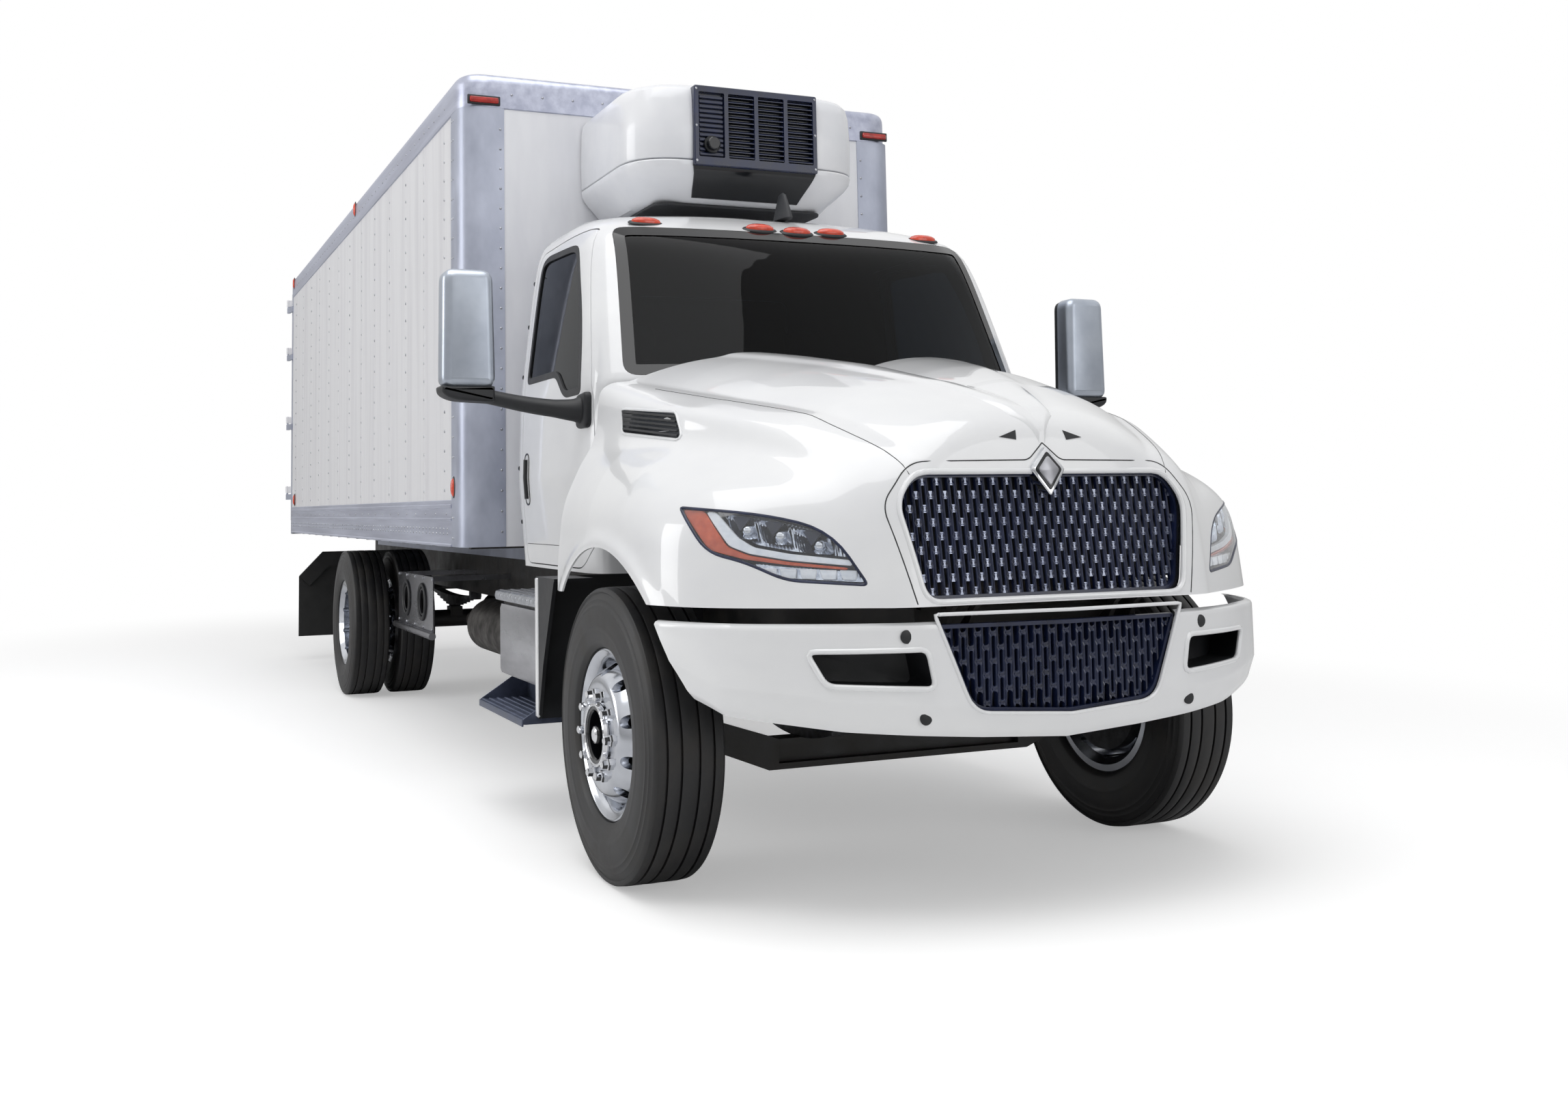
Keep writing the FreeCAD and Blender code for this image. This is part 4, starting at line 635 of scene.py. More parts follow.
# Half sections of the hood, front axle at x = 0: x, centre z, then y, z of the shoulder crease, the
# side top, the valley, the fender crown and the side, and y at the bottom edge.
HOOD_SECTIONS = np.array([
    (-0.528, 1.838, .960, 1.808, 1.005, 1.770, 1.015, 1.575, 1.080, 1.455, 1.150, 1.300, 1.165),
    (-0.150, 1.805, .880, 1.742, .965, 1.690, .975, 1.558, 1.100, 1.450, 1.175, 1.290, 1.178),
    (0.200, 1.765, .785, 1.680, .915, 1.640, .935, 1.527, 1.098, 1.435, 1.178, 1.285, 1.180),
    (0.600, 1.690, .645, 1.605, .730, 1.560, .795, 1.455, 1.020, 1.375, 1.165, 1.250, 1.178),
    (0.900, 1.600, .540, 1.490, .615, 1.450, .735, 1.372, .900, 1.315, 1.105, 1.215, 1.140),
    (1.090, 1.470, .460, 1.385, .550, 1.350, .690, 1.300, .870, 1.245, 1.060, 1.170, 1.100)])
HOOD_FOOT = 0.992
NOSE_PLAN = softened([(0.0, 1.055), (.520, 1.052), (.605, 1.030), (.637, 1.005), (.845, .885), (1.040, .755),
                      (1.160, .620), (1.240, .430)], 0.09)
NOSE_LEAN = 0.13
TYRE_R, ARCH_R = 0.514, 0.655
# The sections are smoothed along X over REACH either way, half and half with their straight reading.
REACH = 0.13
stations, angles = np.linspace(-0.60, 1.14, 59), np.linspace(0, np.pi / 2, 241)
spread = np.linspace(-REACH, REACH, 9)
weights = np.cos(spread / REACH * 1.4)
RADII = np.zeros((len(stations), len(angles)))
for i, station in enumerate(stations):
    near = np.array([np.interp(station + spread, HOOD_SECTIONS[:, 0], c) @ weights / weights.sum()
                     for c in HOOD_SECTIONS[:, 1:].T])
    near += [np.interp(station, HOOD_SECTIONS[:, 0], c) for c in HOOD_SECTIONS[:, 1:].T]
    near /= 2
    corners = [(0, near[0])] + list(zip(near[1:11:2], near[2:12:2])) + [(near[11], HOOD_FOOT)]
    line = softened(corners, (0.055, 0.04, 0.12, 0.11, 0.10)) - (0, HOOD_FOOT)
    turn = np.arctan2(line[:, 1], line[:, 0])
    sizes = np.hypot(*line.T)
    even = np.linspace(0, len(line) - 1, 1500)
    t, r = np.interp(even, np.arange(len(line)), turn), np.interp(even, np.arange(len(line)), sizes)
    order = np.argsort(t)
    RADII[i] = np.interp(angles, t[order], r[order])
print("hood sections worked out:", RADII.shape)


def hood_form(p):
    """Outside the skin by p's distance from the spine less the section's own radius at that angle,
    or ahead of the leaning nose; the wheel-arch lip and the long V-shaped bulge stand out a little."""
    x, y, z = p[..., 0], np.abs(p[..., 1]), p[..., 2] - HOOD_FOOT
    angle = np.arctan2(z, np.maximum(y, 1e-9))
    skin = np.hypot(y, z) - looked_up(RADII, stations, angles, x, angle)
    bulge = 0.012 / (1 + np.exp(-(0.03 + 0.36 * (1.06 - x) - y) / 0.012)) * np.clip((angle - 0.7) * 4, 0, 1)
    arch = np.exp(-((np.hypot(x, z + HOOD_FOOT - TYRE_R) - 0.672) / 0.035) ** 2) * np.clip((y - 0.9) * 5, 0, 1)
    nose = (x + NOSE_LEAN * z - np.interp(y, *NOSE_PLAN.T)) * np.interp(y, (0.5, 0.75), (0.99, 0.80))
    blend = np.interp(y, (0.35, 0.7), (0.045, 0.11))
    return smooth_max(skin - bulge - 0.014 * arch, nose, blend) - blend * 0.15


def hood_skin(level=0.0, rows=64, fan=84, across=300):
    """Rows of upright planes back to front, then planes that turn forward about a cross line over
    the wheel, so that the last one is level with the foot and the poles fall in the wheel arches."""
    v = np.linspace(0, np.pi, across)[None, :]
    x = np.concatenate([np.linspace(-0.54, 0.1, rows), np.full(fan, 0.1)])[:, None]
    a = np.concatenate([np.zeros(rows), np.linspace(0, np.pi / 2, fan + 1)[1:]])[:, None]
    way = xyz(np.sin(a) * np.sin(v), np.cos(v), np.cos(a) * np.sin(v))
    return meet(hood_form, xyz(x, 0.0, HOOD_FOOT), way, 2.2, level)


def on_nose(y, z, level=0.0):
    """The point of the hood's nose seen straight from the front at (y, z)."""
    return meet(hood_form, xyz(0.2, y, z), (1.0, 0, 0), 1.2, level)


def on_side(x, z, side=-1, level=0.0):
    """The hood's flank met straight from the side at (x, z)."""
    return meet(hood_form, xyz(x, 0.0, z), (0, side, 0.0), 1.5, level)


def on_top(x, y, level=0.0):
    """The hood's top met straight from above at (x, y)."""
    return meet(hood_form, xyz(x, y, HOOD_FOOT), (0, 0, 1.0), 1.5, level)


# %% [markdown]
# The moulding is 8 mm thick here. Its openings are cut through it: grille, headlamps and wheel arches,
# and the rear edge that follows the foot of the windshield.
# %% The hood itself
GRILLE_EDGE = rounded([(-.487, 1.008), (.487, 1.008), (.552, 1.310), (.484, 1.402), (-.484, 1.402),
                       (-.552, 1.310)], 0.05, 7)
LAMP_EDGE = rounded([(0.0, 1.056), (.260, 1.072), (.395, 1.130), (.520, 1.160), (.635, 1.310), (.330, 1.285),
                     (.120, 1.232)], (.03, .05, .05, .06, .02, .15, .12), 6)
LAMP_A, LAMP_B = np.array([.985, .640]), np.array([.600, 1.150])
lamp_way = (LAMP_B - LAMP_A) / np.linalg.norm(LAMP_B - LAMP_A)
lamp_out = np.array([lamp_way[1], -lamp_way[0]])


def in_lamp(flat, depth):
    """The points at lamp coordinates (distance outwards along the lamp, z), a depth in front of its
    chord."""
    flat = np.asarray(flat, float)
    plan = LAMP_A + flat[..., :1] * lamp_way + np.asarray(depth, float)[..., None] * lamp_out
    return np.concatenate([plan, flat[..., 1:]], -1)


def lamp_block(line, near, far):
    """A lamp outline carried from one depth to another."""
    return stacked([in_lamp(line, np.full(len(line), d)) for d in (near, far)])


COWL_PLAN = np.linspace(-1.3, 1.3, 41)
cowl_line = np.concatenate([np.stack([-0.277 - 0.235 * (COWL_PLAN / 1.022) ** 2, COWL_PLAN], -1),
                            [(-1.6, 1.3), (-1.6, -1.3)]])
arch_line = np.stack([ARCH_R * np.cos(full_turn(120)), TYRE_R + ARCH_R * np.sin(full_turn(120))], -1)
HOOD_WALL = 0.008
hood = object_from("hood_moulding", [shell(hood_skin(), hood_skin(-HOOD_WALL))])
for line, axis, low, high in ((cowl_line, "z", 0.9, 2.2), (arch_line, "y", -1.5, 1.5), (GRILLE_EDGE, "x", 0.7, 1.3)):
    cut(hood, [plate(line, axis, low, high, 0.001)])
cut(hood, both(lamp_block(LAMP_EDGE, -0.2, 0.25)))
finish_piece(hood, CAB_PAINT, "hood", "cab_paint", ["hood"], 40)
print("hood faces:", len(hood.data.polygons))


# %% [markdown]
# ## Cab
# The cab is one closed form as well: level sections whose front bows between the pillars, and a domed
# roof. Shell, doors and panes are all cut from this one form, so they stay flush with each other.
# %% The cab's form
# z, front x at the centre, front x at the pillar, half width there, rear x, half width at the rear.
CAB_SECTIONS = np.array([
    (1.045, -.600, -.600, 1.000, -1.760, .985), (1.450, -.520, -.560, 1.030, -1.760, 1.015),
    (1.815, -.285, -.520, 1.022, -1.760, 1.005), (2.510, -.650, -.775, .945, -1.750, .930),
    (2.610, -.705, -.830, .930, -1.745, .915), (2.800, -.810, -.930, .905, -1.735, .890)])
CAB_MID = -1.15
levels, bearings = np.linspace(1.0, 2.8, 61), np.linspace(0, np.pi, 361)
CAB_RADII = np.zeros((len(levels), len(bearings)))
for i, level in enumerate(levels):
    mid, corner, half, rear, rear_half = [np.interp(level, CAB_SECTIONS[:, 0], c) for c in CAB_SECTIONS[:, 1:].T]
    bow = np.linspace(0, 0.86, 12)
    front = np.stack([mid + (corner - mid) * bow ** 2.2, bow * half], -1)
    line = softened(list(front) + [(corner - 0.035, half)] + [((corner + rear) / 2, (half + rear_half) / 2 + 0.008),
                    (rear, rear_half), (rear, 0)], [0.01] * 11 + [0.14, 0.3, 0.07]) - (CAB_MID, 0)
    fine = np.linspace(0, len(line) - 1, 2500)
    x, y = [np.interp(fine, np.arange(len(line)), c) for c in line.T]
    CAB_RADII[i] = np.interp(bearings, np.arctan2(y, x), np.hypot(x, y))


def cab_form(p):
    """Outside the wall by the distance from the upright middle less the section's radius at that
    bearing, or above the domed roof, with a rounded eave between the two."""
    x, y, z = p[..., 0] - CAB_MID, np.abs(p[..., 1]), p[..., 2]
    radius = looked_up(CAB_RADII, levels, bearings, z, np.arctan2(y, x))
    roof = z - 2.652 + 0.035 * (y / 0.9) ** 2 + 0.10 * np.maximum(x + 0.15, 0) ** 2 / 0.25
    return smooth_max(np.hypot(x, y) - radius, roof, 0.11)


def on_cab(start, way, level=0.0):
    """The cab's form met by rays from inside it."""
    return meet(cab_form, start, way, 1.6, level)


def cab_skin(level=0.0, rows=78, cap=34, around=360):
    """Level rings from the floor up, then rings that lean in towards one pole at the roof's middle."""
    a = full_turn(around)[None, :]
    z = np.concatenate([np.linspace(1.045, 2.35, rows), np.full(cap, 2.35)])[:, None]
    e = np.concatenate([np.zeros(rows), np.linspace(0, np.pi / 2, cap + 1)[1:]])[:, None]
    way = xyz(np.cos(e) * np.cos(a), np.cos(e) * np.sin(a), np.sin(e))
    return on_cab(xyz(CAB_MID, 0.0, z), way, level)


def cab_layer(name, outer, inner):
    """A closed layer of the cab's form between two depths."""
    return object_from(name, [shell(cab_skin(outer), cab_skin(inner), close_v=True)])


DOOR_EDGE = rounded([(-1.640, 1.062), (-.760, 1.062), (-.600, 1.200), (-.600, 1.790), (-.870, 2.496),
                     (-.930, 2.506), (-1.640, 2.506)], (.06, .08, .12, .12, .05, .03, .08), 7)
WINDOW_EDGE = rounded([(-1.612, 1.884), (-1.110, 1.878), (-.960, 1.775), (-.722, 1.775), (-.796, 2.103),
                       (-.980, 2.425), (-1.050, 2.458), (-1.500, 2.480), (-1.582, 2.455)],
                      (.05, .05, .05, .05, .2, .1, .08, .06, .05), 7)
SCREEN_EDGE = rounded([(-.915, 1.832), (-.850, 2.500), (.850, 2.500), (.915, 1.832)], .06, 7)
BACK_EDGE = rounded([(-.42, 1.90), (-.42, 2.35), (.42, 2.35), (.42, 1.90)], .06, 7)


def pane(name, line, axis, span, outer, inner, material, body, slot, hides=(), hole=None):
    """A piece of the cab's layer inside an outline, with a smaller outline cut from it if given."""
    part = cab_layer(name, outer, inner)
    cut(part, [plate(line, axis, *span, CUT_EDGE)], keep_inside=True)
    if hole is not None:
        cut(part, [plate(hole, axis, *span, CUT_EDGE)])
    return finish_piece(part, material, body, slot, hides, 30)


def rim(name, line, way, width, outer, inner, material, body, slot):
    """A band along an outline, between two depths: its four edges are rays from the cab's middle."""
    edge = dense(inset(line, 0.001), 0.015)
    rings = []
    for flat, level in ((edge, outer), (inset(edge, width), outer), (inset(edge, width), inner), (edge, inner)):
        start = xyz(CAB_MID, *flat.T) if way[0] else xyz(flat[:, 0], 0.0, flat[:, 1])
        rings.append(on_cab(start, way, level))
    return piece(name, [grid(np.stack(rings), close_u=True, close_v=True)], material, body, slot)


FRONT, BACK, SIDE = (-0.95, 0.0), (-1.9, -1.6), (0.70, 1.3)


def cab_wall(name, outer, inner, screen, material, slot, hides=(), crease=32):
    """A layer of the whole cab, open at both doors, the windshield and the back window."""
    wall = cab_layer(name, outer, inner)
    door = inset(DOOR_EDGE, -0.003)
    cut(wall, [plate(door, "y", *SIDE, CUT_EDGE), plate(door, "y", -SIDE[1], -SIDE[0], CUT_EDGE)])
    cut(wall, [plate(screen, "x", *FRONT, CUT_EDGE), plate(BACK_EDGE, "x", *BACK, CUT_EDGE)])
    finish_piece(wall, material, "chassis", slot, hides, crease)


cab_wall("cab_shell_panels", 0.0, -0.030, SCREEN_EDGE, CAB_PAINT, "cab_paint", ["cab_shell"], 35)
floor_line = rounded([(-.64, -.94), (-.64, .94), (-1.73, .94), (-1.73, -.94)], .05, 4)
piece("cab_floor", [plate(floor_line, "z", 1.05, 1.10, 0.004)], DASH_VINYL, "chassis", "black_plastic")
cab_wall("cab_lining", -0.0305, -0.0350, inset(SCREEN_EDGE, -.004), CAB_LINING_PAINTED_SHADE, "black_plastic")
for side, mark in ((1, "left"), (-1, "right")):
    span, door = (SIDE[0] * side, SIDE[1] * side), "cab_door_" + mark
    pane("door_lining_" + mark, inset(DOOR_EDGE, 0.008), "y", span, -0.0455, -0.050, CAB_LINING_PAINTED_SHADE, door,
         "black_plastic", (), inset(WINDOW_EDGE, -.004))
    pane("door_skin_" + mark, inset(DOOR_EDGE, 0.002), "y", span, 0.0, -0.045, CAB_PAINT, door, "cab_paint",
         [door], WINDOW_EDGE)
    pane("door_pane_" + mark, inset(WINDOW_EDGE, 0.004), "y", span, -0.006, -0.011, CAB_GLASS, door, "glazing",
         ["door_glass_" + mark])
    rim("door_pane_rim_" + mark, WINDOW_EDGE, (0, float(side), 0), 0.029, 0.0015, -0.016, BLACK_PLASTIC, door,
        "black_plastic")
for name, line, span, glass, hides in (("windshield", SCREEN_EDGE, FRONT, CAB_GLASS, ["cab_glass"]),
                                       ("back_window", BACK_EDGE, BACK, PRIVACY_GLASS, ())):
    pane(name, inset(line, 0.003), "x", span, -0.004, -0.010, glass, "chassis", "glazing", hides)
for name, line, way, width in (("windshield", SCREEN_EDGE, 1.0, 0.044), ("back_window", BACK_EDGE, -1.0, 0.029)):
    rim(name + "_rim", line, (way, 0, 0), width, -0.001, -0.0035, FRIT, "chassis", "glazing")
print("cab made")


# %% [markdown]
# ## Bumper
# One upright profile carried round the bumper's plan. The face bulges a few millimetres, both long
# edges roll inwards, and below a crease the profile turns under.
# %% Bumper
BUMPER_PLAN = softened([(1.105, 0.0), (1.068, .463), (1.050, .570), (.985, .760), (.800, 1.040), (.560, 1.165),
                        (.505, 1.175)], (.3, .07, .12, .12, .12), 9)
run = np.concatenate([[0], np.cumsum(np.hypot(*np.diff(BUMPER_PLAN, axis=0).T))])
BUMPER_TOP, TOP_EDGE_R, TOP_EDGE_FOOT, CREASE_UP = 0.945, 0.016, 0.929, 0.095
FOOT = np.array([(0.0, .570), (.300, .585), (.750, .618), (1.060, .660), (1.180, .745)])


def bumper_skin(level=0.0, along=120, up=44):
    """Plan point at each length along the bumper, set back along the plan's normal by the profile:
    a quarter circle at the top edge, a shallow bulge, a crease at 0.70 m and a tucked foot."""
    s = np.linspace(0, run[-1], along)
    x, y = [np.interp(s, run, c) for c in BUMPER_PLAN.T]
    d = np.stack([np.gradient(x, s), np.gradient(y, s)], -1)
    d /= np.linalg.norm(d, axis=1)[:, None]
    normal = np.stack([d[:, 1], -d[:, 0]], -1)
    foot = np.interp(y, *FOOT.T)[:, None]
    t = np.linspace(0, 1, up)[None, :]
    z = BUMPER_TOP + (foot - BUMPER_TOP) * t
    rolled = np.maximum(z - TOP_EDGE_FOOT, 0)
    top = TOP_EDGE_R - np.sqrt(np.maximum(TOP_EDGE_R ** 2 - rolled ** 2, 0))
    crease = foot + CREASE_UP
    tuck = 0.30 * np.maximum(crease - z, 0) + 2.2 * np.maximum(crease - 0.07 - z, 0) ** 1.5
    back = top + tuck + 0.05 * (z - 0.84) ** 2 - level
    P = xyz(x[:, None] - back * normal[:, :1], y[:, None] - back * normal[:, 1:], z)
    return np.concatenate([P[1:][::-1] * (1, -1, 1), P])


def on_bumper(y, z):
    """The bumper's face seen from the front at (y, z): plan x less the same bulge, near enough."""
    y, z = np.asarray(y, float), np.asarray(z, float)
    plan = np.interp(np.abs(y), BUMPER_PLAN[:, 1], BUMPER_PLAN[:, 0])
    crease = np.interp(np.abs(y), *FOOT.T) + CREASE_UP
    return xyz(plan - 0.30 * np.maximum(crease - z, 0) - 0.05 * (z - 0.84) ** 2, y, z)


FOG_EDGE = rounded([(.475, .747), (.790, .762), (.840, .861), (.497, .862)], .025, 6)


def lower_outline(half, top):
    """The lower grille's outline: a shallow V below, sides that lean out to half the top's width."""
    return rounded([(-.345, .668), (0.0, .648), (.345, .668), (half, top), (-half, top)],
                   (.06, .02, .06, .001, .001), 6)


LOWER_EDGE, LOWER_FIELD = lower_outline(.465, .965), lower_outline(.4530, .936)
bumper = object_from("bumper_cover", [shell(bumper_skin(), bumper_skin(-0.010))])
cut(bumper, both(plate(FOG_EDGE, "x", 0.5, 1.3, CUT_EDGE)))
cut(bumper, [plate(LOWER_EDGE, "x", 0.85, 1.3, CUT_EDGE)])
cut(bumper, [plate(arch_line, "y", -1.5, 1.5, 0.001)])
finish_piece(bumper, CAB_PAINT, "chassis", "cab_paint", ["front_bumper"], 40)


def lip(line, place, radius=0.006):
    """A round bead along an outline in (y, z), laid on a face by its own function."""
    line = np.asarray(line, float)
    return tube(place(line[:, 0], line[:, 1]), radius, 10, closed=True)


beads = both(lip(dense(inset(FOG_EDGE, -0.003)), on_bumper, 0.009))
beads.append(lip(dense(inset(LOWER_EDGE, -0.003))[1:], on_bumper))
piece("bumper_beads", beads, CAB_PAINT, "chassis", "cab_paint")
ring = dense(FOG_EDGE)
inside_ring = resampled(dense(inset(FOG_EDGE, 0.003)), len(ring))
depth = np.linspace(0.006, 0.14, 5)[:, None, None] * np.array([1.0, 0, 0])
outer_tray = floored(on_bumper(*ring.T)[None] - depth)
inner_tray = floored(on_bumper(*inside_ring.T)[None] - depth * 0.97)
piece("fog_light_pockets", both(shell(outer_tray, inner_tray, close_v=True)), BLACK_PLASTIC, "chassis", "cab_paint")
spots = on_bumper([.561, -.561, .500, -.500], [.904, .904, .656, .656])
piece("parking_sensors", [studs(spots, (1.0, 0, 0), 0.021, 0.004, 24)], BLACK_PLASTIC, "chassis", "black_plastic")
print("bumper made")

# %% [markdown]
# ## Grilles
# A moulded field of upright slots, 18 mm wide and 74 mm tall, on columns 26 mm apart; every second
# column is half a slot lower. Each cell is the ring between a slot and its share of the field.
# %% Slotted fields
PITCH, ROW, HALF_SLOT, REACH_UP = 0.026, 0.086, 0.0088, 0.037


def slot_ring(angles, half):
    """A slot's outline: half circles of the given half width above and below two straight sides."""
    return np.stack([half * np.cos(angles),
                     half * np.sin(angles) + np.sign(np.sin(angles)) * (REACH_UP - HALF_SLOT)], -1)


def slot_cells(y_low, y_high, z_low, z_high, place, limit=None, depth=0.022):
    """Five rings per cell: its rectangle at the back, the rectangle in front, the slot's eased rim, the
    rim itself and the slot's back edge, so that each cell is a closed block with a hole in it."""
    columns = np.arange(np.floor(y_low / PITCH), np.ceil(y_high / PITCH) + 1)
    rows = np.arange(np.floor(z_low / ROW) - 1, np.ceil(z_high / ROW) + 1)
    c, r = [g.ravel() for g in np.meshgrid(columns, rows, indexing="ij")]
    centre = np.stack([c * PITCH, (r + 0.5 * (c % 2)) * ROW], -1)
    slot = slot_ring(full_turn(20) + np.pi / 20, HALF_SLOT)
    edge = slot / np.maximum(np.abs(slot[:, :1]) / (PITCH / 2), np.abs(slot[:, 1:]) / (ROW / 2))
    for corner in np.array([(1, 1), (-1, 1), (-1, -1), (1, -1)]) * (PITCH / 2, ROW / 2):
        edge[np.argmin(np.hypot(*(edge - corner).T))] = corner
    edge *= 0.995
    flat = np.stack([edge, edge, slot * (1.06, 1.01), slot, slot])
    deep = np.array([depth, 0.0, 0.0, 0.003, depth])[:, None]
    ribs = np.where(np.abs(flat[..., 1]) > REACH_UP * 0.97, 0.004, 0.0)
    yz = centre[:, None, None] + flat[None]
    if limit:
        yz = limit(yz)
        wide, high = np.ptp(yz[:, 0], axis=1).T
        kept = (wide > 0.3 * PITCH) & (high > 0.2 * ROW)
        yz, centre = yz[kept], centre[kept]
    return copies(place(yz[..., 0], yz[..., 1]) - xyz(deep + ribs, 0, 0)[None], close_u=True), centre


def hourglasses(centre, place, lift=-0.0025):
    """Painted highlights on the lands between slots that follow each other: ten-point plates, pinched in the middle.
    """
    t = np.array([-1, -.5, 0, .5, 1])
    waist = np.array([.0064, .0046, .0024, .0046, .0064])
    ring = np.concatenate([np.stack([waist, t * .0125], -1), np.stack([-waist, t * .0125], -1)[::-1]])
    yz = (centre + (0, ROW / 2))[:, None] + ring
    front = place(yz[..., 0], yz[..., 1]) + (lift, 0, 0)
    points, faces = copies(np.stack([front - (0.006, 0, 0), front], 1))
    n = len(ring)
    return points, faces.tolist() + [[k * 2 * n + n + a for a in (i, i + 1, 8 - i, 9 - i)]
                                     for k in range(len(front)) for i in range(4)]


def linings(centre, place, depth=0.007):
    """The wall of each slot, painted paler as painted light: a thin ring just inside its rim, 7 mm deep."""
    a = full_turn(16) + np.pi / 16
    outer, inner = slot_ring(a, HALF_SLOT - .0002), slot_ring(a, HALF_SLOT - .0010)
    yz = centre[:, None, None] + np.stack([outer, outer, inner, inner])[None]
    deep = np.array([depth, -.0006, -.0006, depth])[:, None] + 0 * a
    return copies(place(yz[..., 0], yz[..., 1]) - xyz(deep, 0, 0)[None], close_u=True)


def nose_face(back):
    """The leaning nose plane, set back: plan x of the nose at y, less its lean with height."""
    return lambda y, z: xyz(np.interp(np.abs(y), *NOSE_PLAN.T) - back - NOSE_LEAN * (z - HOOD_FOOT)
                            - 0.02 * np.maximum(np.abs(y) - .30, 0), y, z)


def backing(line, place, far, near):
    """A thin dark sheet behind a field of slots."""
    return [stacked(np.stack([place(back)(line[:, 0], line[:, 1]) for back in (far, near)]))]


grille_place = nose_face(0.030)
field, centres = slot_cells(-.56, .56, 1.0, 1.41, grille_place, depth=.012)
upper = object_from("grille_slots", [field])
cut(upper, [plate(inset(GRILLE_EDGE, 0.006), "x", 0.7, 1.3, CUT_EDGE)], keep_inside=True)
finish_piece(upper, NAVY_PLASTIC, "hood", "grille_plastic", ["grille"], 30)
inside = [k for k, (y, z) in enumerate(centres) if abs(y) < .54 - .2 * max(z + .043 - 1.31, 0) * 3.4
          and 1.02 < z + .043 < 1.392 and abs(y) < .475 + (z + .043 - 1.0) * .22]
# The lands' pale plates are a painted highlight.
piece("grille_land_highlights", [hourglasses(centres[inside], grille_place)], GRILLE_LAND_HIGHLIGHT, "hood", "grille_plastic")
# The slot walls are painted paler, as painted light.
whole = [k for k, (y, z) in enumerate(centres) if abs(y) < .52 - .68 * max(z + .037 - 1.31, 0)
         and 1.050 < z < 1.362 and abs(y) < .475 + (z - 1.037) * .22]
piece("grille_walls_painted_light", [linings(centres[whole], grille_place)], GRILLE_WALL_PAINTED_LIGHT, "hood", "grille_plastic")
rear = dense(inset(GRILLE_EDGE, .004), .02)
rear[:, 1] = np.maximum(rear[:, 1], 1.055)
piece("grille_backing", backing(rear, nose_face, .052, .048), BLACK_PLASTIC, "hood", "grille_plastic")


def bumper_face(back):
    """The bumper's face, set back, and carried straight up where the face itself turns in."""
    def place(y, z):
        low = np.minimum(z, .900)
        return on_bumper(y, low) + xyz(0 * y - back, 0, z - low)
    return place


def lower_limit(yz):
    """Holds a point inside the opening: over its V-shaped foot, under its top, between its leaning sides."""
    z = np.clip(yz[..., 1], 0.653 + 0.058 * np.abs(yz[..., 0]), 0.931)
    half = 0.340 + (z - 0.668) * 0.403
    return np.stack([np.clip(yz[..., 0], -half, half), z], -1)


lower_place = bumper_face(0.022)
field, centres = slot_cells(-.47, .47, .64, .95, lower_place, lower_limit)
piece("lower_grille_slots", [field], NAVY_PLASTIC, "chassis", "grille_plastic", ["bumper_grille"], 30)
# The lower grille's slot walls are painted paler as well, as painted light.
inside = [k for k, (y, z) in enumerate(centres) if .712 < z < .892 and abs(y) < .325 + (z - .705) * .40]
piece("lower_grille_walls", [linings(centres[inside], lower_place)], GRILLE_WALL_PAINTED_LIGHT, "chassis", "grille_plastic")
rear = dense(inset(LOWER_FIELD, .003), .02)
piece("lower_grille_backing", backing(rear, bumper_face, .060, .052), BLACK_PLASTIC, "chassis", "grille_plastic")


def frame_ring(line, place, width, thick):
    """A flat rim along an outline: inner and outer lines, front and back, closed into one ring."""
    outer = dense(line, 0.015)
    a, b = place(*outer.T), place(*inset(outer, width).T)
    return grid(np.stack([a - (thick, 0, 0), a, b, b - (thick, 0, 0)]), close_u=True, close_v=True)


for name, line, place, width, thick, material, body in (
        ("grille_rim", inset(GRILLE_EDGE, 0.001), nose_face(0.020), 0.013, 0.02, NAVY_PLASTIC, "hood"),
        ("lower_grille_rim", inset(LOWER_FIELD, 0.001), bumper_face(.014), 0.012, 0.03, NAVY_PLASTIC, "chassis"),
        ("grille_well", inset(GRILLE_EDGE, -0.006), nose_face(0.012), 0.010, 0.028, GLOSS_BLACK, "hood")):
    piece(name, [frame_ring(line, place, width, thick)], material, body, "grille_plastic")
surround = lambda y, z: on_nose(y, z) - (0.004, 0, 0)
piece("grille_bead", [lip(dense(inset(GRILLE_EDGE, -0.004)), surround, 0.010)], CAB_PAINT, "hood", "cab_paint")
print("grilles made")


# %% [markdown]
# ## Van body
# The body is sheet on posts: flat panels riveted to hidden posts, an extruded rail along the top and
# one along the bottom, and rounded galvanised posts at the front corners. Rails are profiles carried
# along the body's plan; rivets are one small dome repeated at every place at once.
# %% Rails and posts
def swept(path, profile):
    """A closed profile of (outward, z) carried along a plan path and mitred by the path's normal."""
    p = np.array(path, float)
    d = np.gradient(p, axis=0)
    d /= np.linalg.norm(d, axis=1)[:, None]
    normal = np.stack([d[:, 1], -d[:, 0]], -1)
    f = np.array(profile, float)
    plan = p[:, None] + normal[:, None] * f[None, :, :1]
    return stacked(xyz(plan[..., 0], plan[..., 1], f[None, :, 1]))


